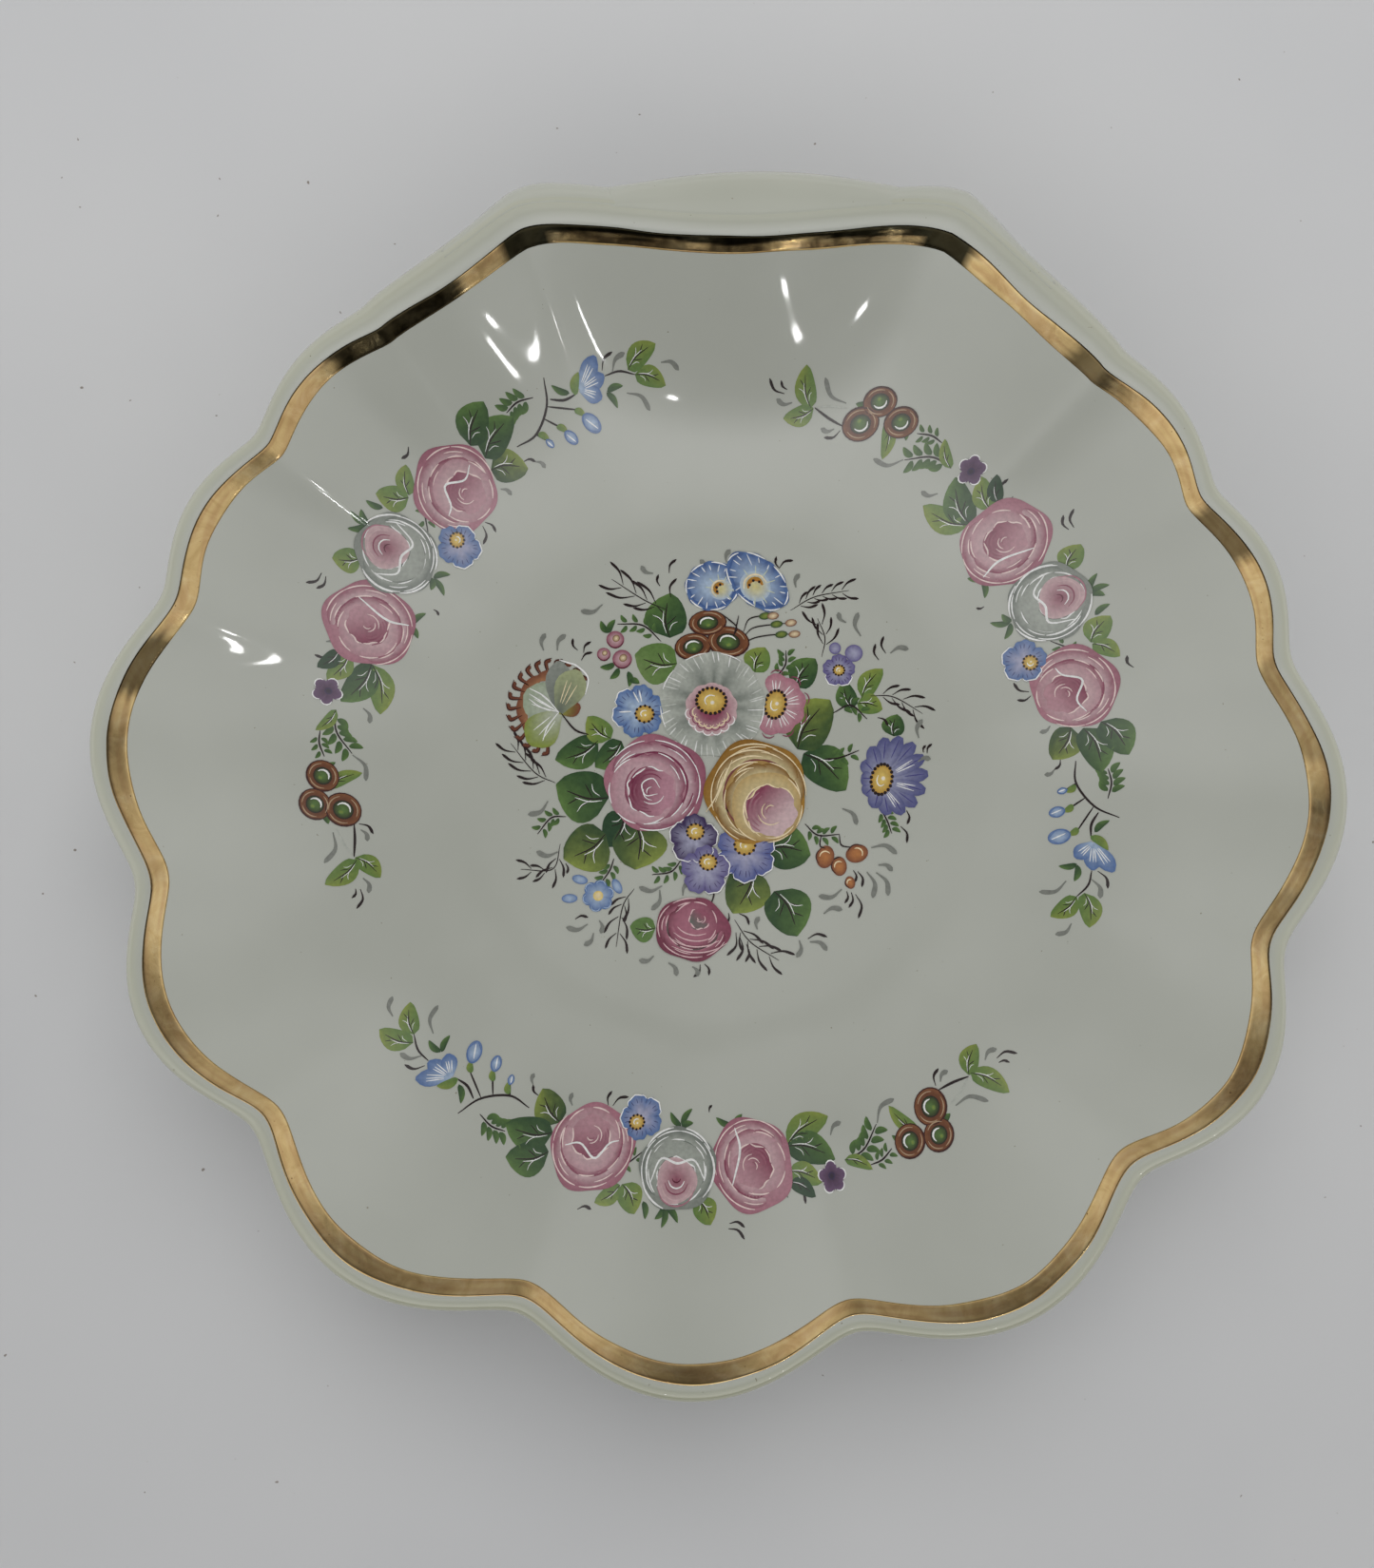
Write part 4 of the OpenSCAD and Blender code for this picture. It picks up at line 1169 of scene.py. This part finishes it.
def garland(place, swing, shift=(0, 0)):
    def piece(name, base=0):
        return Enamel(f"garland_{place}_{name}", f"garland_transfer_{place}", "garland_enamel", swing, base,
                      shift)

    e = piece("leaves")
    for base, tip, width, bright, deep in GARLAND_LEAVES:
        e.leaf(base, tip, width, bright, deep, veins=2 if width > 4 else 1)
    for base, tip in GARLAND_LEAFLETS:
        e.leaf(base, tip, 1.4, GREEN, DEEP, veins=0)

    e = piece("twigs")
    e.stems((0.42, (-65.2, -62), (-64, -65.4), (-61.6, -67.8)),
            (0.55, (-55, -71.8), (-52.6, -73.4), (-51, -76)),
            (0.5, (-54, -79), (-49.4, -76), (-43, -75.4), (-38.4, -77.8)),
            (0.4, (-52.6, -70), (-49.4, -75.8)), (0.4, (-47.4, -70.8), (-46.8, -75.4)),
            (0.4, (-43.2, -73), (-43, -75.6)))
    for points, count, size in GARLAND_TWIGS:
        leafy_twig(e, points, count, size)
    e.stems((0.55, (55, -68.4), (58, -66.4), (61.4, -64.6)))
    e.stroke([(61.2, -65), (60, -67.6), (57.6, -71)], 0.4, PEARL)
    e.commas(GARLAND_DARK_STROKES, 0.95, BLACK)
    e.commas(GARLAND_GREY_STROKES, 1.6, SHADOW)

    e = piece("bellflower", 8)
    for tip, width in (((-61.6, -68), 3.6), ((-63.8, -71.4), 3.8), ((-57.6, -66.4), 3.6)):
        e.petal((-56.4, -71.4), tip, width, SKY, BLUE, 1, WHITE, 0.7)
    e.leaf((-54.8, -71.8), (-59.2, -73.2), 2, OLIVE, GREEN, veins=0, level=3)
    for at, radius in (((-51.9, -66.1), 2.5), ((-46.8, -68.6), 1.8), ((-43.1, -72), 1.1)):
        e.oval(at, radius, 0.68, 80, SKY, BLUE, 2)
        e.arc(at, radius * 0.96, 0, 350, 0.26, BLUE, level=3, squash=0.68, turn=80)
        e.stroke([(at[0], at[1] - radius * 0.6), (at[0] + 0.2, at[1] + radius * 0.7)], 0.3, WHITE, level=3)
        e.leaf((at[0] - 0.2, at[1] - radius - 2), (at[0] - 0.6, at[1] - radius + 0.6), 1.5, OLIVE, GREEN,
               veins=0)

    e = piece("blue_flower", 16)
    primula(e, (-12.6, -79.1), 4.9, (-13.6, -80.2), 40, 5, MAUVE, BLUE, (-30, 200))

    e = piece("first_rose", 8)
    rose(e, (-23.1, -85.2), 9.9, (-0.6, 1.6, 6.6), (-0.6, 2.2, 4.6), 265, PINK, ink(174, 150, 152),
         RASPBERRY, ink(206, 186, 182), RASPBERRY, 0.92)
    e.stroke([(-29.4, -84.8), (-26, -84.4), (-22.6, -87.4), (-19.6, -84.6), (-17.4, -84)], 0.45, WHITE,
             level=10)
    e = piece("second_rose", 8)
    rose(e, (13.1, -87.4), 9.7, (1.4, 0.4, 6.4), (0.4, -0.4, 4.6), 165, PINK, ink(178, 154, 156), RASPBERRY,
         ink(206, 186, 182), RASPBERRY, 1.02)
    e.stroke([(9, -80.4), (10.4, -85), (9, -92)], 0.5, WHITE, level=10)
    e = piece("white_rose", 24)
    rose(e, (-3.6, -89.4), 9.1, (-0.2, -0.6, 6.6), (-0.2, -2.4, 4.8), 90, PEWTER, ink(146, 150, 142), SLATE,
         WHITE, SLATE)
    for start, reach in ((100, 8.4), (30, 8.3), (150, 7.2), (200, 8.4), (330, 8.3)):
        e.arc((-3.6, -89.4), reach, start, start + 50, 0.42, WHITE, level=9)
    e.shape((-3.8, -91.8), lambda a: 4.8 * (0.95 + 0.05 * math.cos(3 * a)),
            lambda a, s: mix_each(RASPBERRY, BLUSH, s), 10, 12)
    for k, tone in enumerate((WINE, WHITE, RASPBERRY, BLUSH, PINK)):
        e.arc((-3.8, -91.2 - 0.3 * k), 1 + 0.85 * k, 190, 350, 0.3, tone, level=11)
    e.stroke([(-9.8, -92.6), (-7.6, -87.6), (-3.8, -88.4), (0, -87.6), (2.6, -91.4)], 0.5, WHITE, level=12)

    e = piece("purple_flower", 8)
    for a in (20, 100, 175, 250, 320):
        e.petal((31.1, -88), around((31.1, -88), 3.1, a), 2.6, ink(58, 38, 56), ink(92, 70, 96), 1, None,
                0.5)
        e.arc(around((31.1, -88), 2, a), 1.15, a - 80, a + 80, 0.3, WHITE, level=3)
    e.oval((31, -87.8), 0.8, 1, 0, BLACK, PLUM, 3, 3)
    e = piece("berries", 8)
    for at, radius, turn, squash in (((53.2, -72.1), 3.9, 70, 0.84), ((48.6, -79.7), 3.5, 60, 0.86),
                                     ((54.9, -77.7), 3.5, 60, 0.82)):
        berry(e, at, radius, turn, squash)


for draw in (bouquet_greenery, bouquet_tulip, bouquet_bindweed, bouquet_berries, bouquet_blue_flowers,
             bouquet_pearl_flower, bouquet_pink_daisy, bouquet_roses):
    draw()
# Each third of the wall: the garland's turn in degrees, and how far its transfer slipped, in mm.
for place, swing, shift in (("front", 0, (0, 0)), ("right", 122.7, (-3.5, -1)), ("left", 243.7, (3.3, 3.7))):
    garland(place, swing, shift)
for enamel in Enamel.drawn:
    enamel.finish()

# ---------------------------------------------------------------- camera, floor and light
SKY_LEAST, SKY_SIDES, SKY_FRONT, SKY_BACK = 0.01, 0.05, 1.75, 0.1
# Brightness low down, by the share of a turn from -X: dark beyond the front and its right.
HORIZON = [(0, 0.72), (0.13, 0.65), (0.18, 0.03), (0.36, 0.03), (0.4, 0.55), (0.5, 0.72), (0.64, 0.6),
           (0.75, 0.26), (0.86, 0.6), (1, 0.72)]
HAZE = 0.6                # the pale band behind the edge of the table
CAMERA_H = 391.5          # above the table, in the bowl's frame
CAMERA_AT = Vector((-6.5, -1.7, CAMERA_H))
CAMERA_ROLL = 3.25
FIELD_PER_LENS = 1700 / 1649     # the focal length over the frame's long side
SENSOR = 36
FLOOR_HALF = 3000
# Lamps and the window: sizes in metres, powers in watts, places in the bowl's frame.
LAMP_SIZE, LAMP_POWER, LAMP_FAR = 0.004, 0.0018, 400
WINDOW_AT, WINDOW_SIZE, WINDOW_POWER = (0, 650, 1100), (1.1, 0.8), 7


def add_camera():
    data = bpy.data.cameras.new("camera")
    data.sensor_width = SENSOR
    data.lens = SENSOR * FIELD_PER_LENS
    data.clip_start = 0.01
    camera = add_object("camera", data)
    camera.location = in_row(CAMERA_AT)
    camera.rotation_euler = (0, 0, math.radians(CAMERA_ROLL))
    bpy.context.scene.camera = camera


def add_floor():
    """A sheet of pale paper, faintly clouded, with a few specks."""
    material, tree, shader = new_material("paper", Roughness=0.75)
    shader.inputs["Specular IOR Level"].default_value = 0.25
    tone = speckled(tree, 7, (0.66, 0.665, 0.675), (0.71, 0.712, 0.715), 420, (0.45, 0.4, 0.36))
    tree.links.new(tone, shader.inputs["Base Color"])
    mesh = bpy.data.meshes.new("floor")
    corners = [(x * FLOOR_HALF, y * FLOOR_HALF, 0) for x, y in ((-1, -1), (1, -1), (1, 1), (-1, 1))]
    mesh.from_pydata([in_row(p) for p in corners], [], [(0, 1, 2, 3)])
    mesh.materials.append(material)
    floor = add_object("floor", mesh)


def add_area(name, at, aim, size, power):
    """A lamp of a width and a length that shines from one point of the bowl's frame at another."""
    data = bpy.data.lights.new(name, "AREA")
    data.energy, data.shape, (data.size, data.size_y) = power, "RECTANGLE", size
    light = add_object(name, data)
    light.location = in_row(at)
    light.rotation_euler = (in_row(aim) - in_row(at)).to_track_quat("-Z", "Y").to_euler()
    return light


def add_world():
    """Soft room light: brighter from the sides, dark low down beyond the front."""
    world = bpy.data.worlds.new("room")
    world.use_nodes = True
    tree = world.node_tree

    def math_node(operation, *values):
        node = add_node(tree, "ShaderNodeMath", dict(enumerate(values)), operation=operation)
        return node.outputs["Value"]
    place = add_node(tree, "ShaderNodeTexCoord")
    split = add_node(tree, "ShaderNodeSeparateXYZ", {"Vector": place.outputs["Generated"]})
    x, y, z = (split.outputs[axis] for axis in "XYZ")

    def step(value, start, stop):
        return add_node(tree, "ShaderNodeMapRange", {"Value": value, "From Min": start, "From Max": stop},
                        interpolation_type="SMOOTHSTEP").outputs["Result"]
    sides = math_node("MULTIPLY", math_node("MULTIPLY", x, x), SKY_SIDES)
    front = math_node("MULTIPLY", math_node("MAXIMUM", math_node("MULTIPLY", y, -1), 0), SKY_FRONT)
    # A pale ceiling towards the back, which ends sharply just short of straight overhead.
    back = math_node("MULTIPLY", step(y, -0.05, 0.15), math_node("MULTIPLY", step(z, 0.15, 0.85), SKY_BACK))
    back = math_node("MULTIPLY", back, math_node("SUBTRACT", 1, step(z, 0.965, 0.985)))
    sky = math_node("ADD", math_node("ADD", sides, front), math_node("ADD", back, SKY_LEAST))
    azimuth = add_node(tree, "ShaderNodeMapRange", {
        "Value": math_node("ARCTAN2", y, x), "From Min": -math.pi, "From Max": math.pi}).outputs["Result"]
    low = ramp(tree, azimuth, HORIZON)
    low = add_node(tree, "ShaderNodeMix", {
        "Factor": step(z, 0.1, 0.26), "A": (HAZE, HAZE, HAZE, 1), "B": low},
        data_type="RGBA").outputs["Result"]
    colour = add_node(tree, "ShaderNodeMix", {"Factor": step(z, 0.4, 0.62), "A": low, "B": sky},
                      data_type="RGBA")
    tree.links.new(colour.outputs["Result"], tree.nodes["Background"].inputs["Color"])
    bpy.context.scene.world = world


def add_glint(x, y):
    """A small lamp whose mirror image the camera sees at the point (x, y) of the glaze."""
    point = Vector((x, y, glaze_z(x, y)))
    sight = (point - CAMERA_AT).normalized()
    normal = glaze_normal(x, y)
    bounce = sight - 2 * sight.dot(normal) * normal
    lamp = add_area("lamp", point + bounce * LAMP_FAR, point, (LAMP_SIZE, LAMP_SIZE), LAMP_POWER)
    lamp.visible_diffuse = False


bpy.context.scene.view_settings.view_transform = "Standard"
add_camera()
add_floor()
add_world()
# Four glints in a row on the left of the hinge end, and two more.
for k in range(4):
    add_glint(*mix_each((-35.1, 99.2), (-50.6, 87.6), k / 3))
add_glint(12.2, 98.7)
add_glint(25.9, 104)
add_area("window", WINDOW_AT, (0, 0, 0), WINDOW_SIZE, WINDOW_POWER).visible_glossy = False
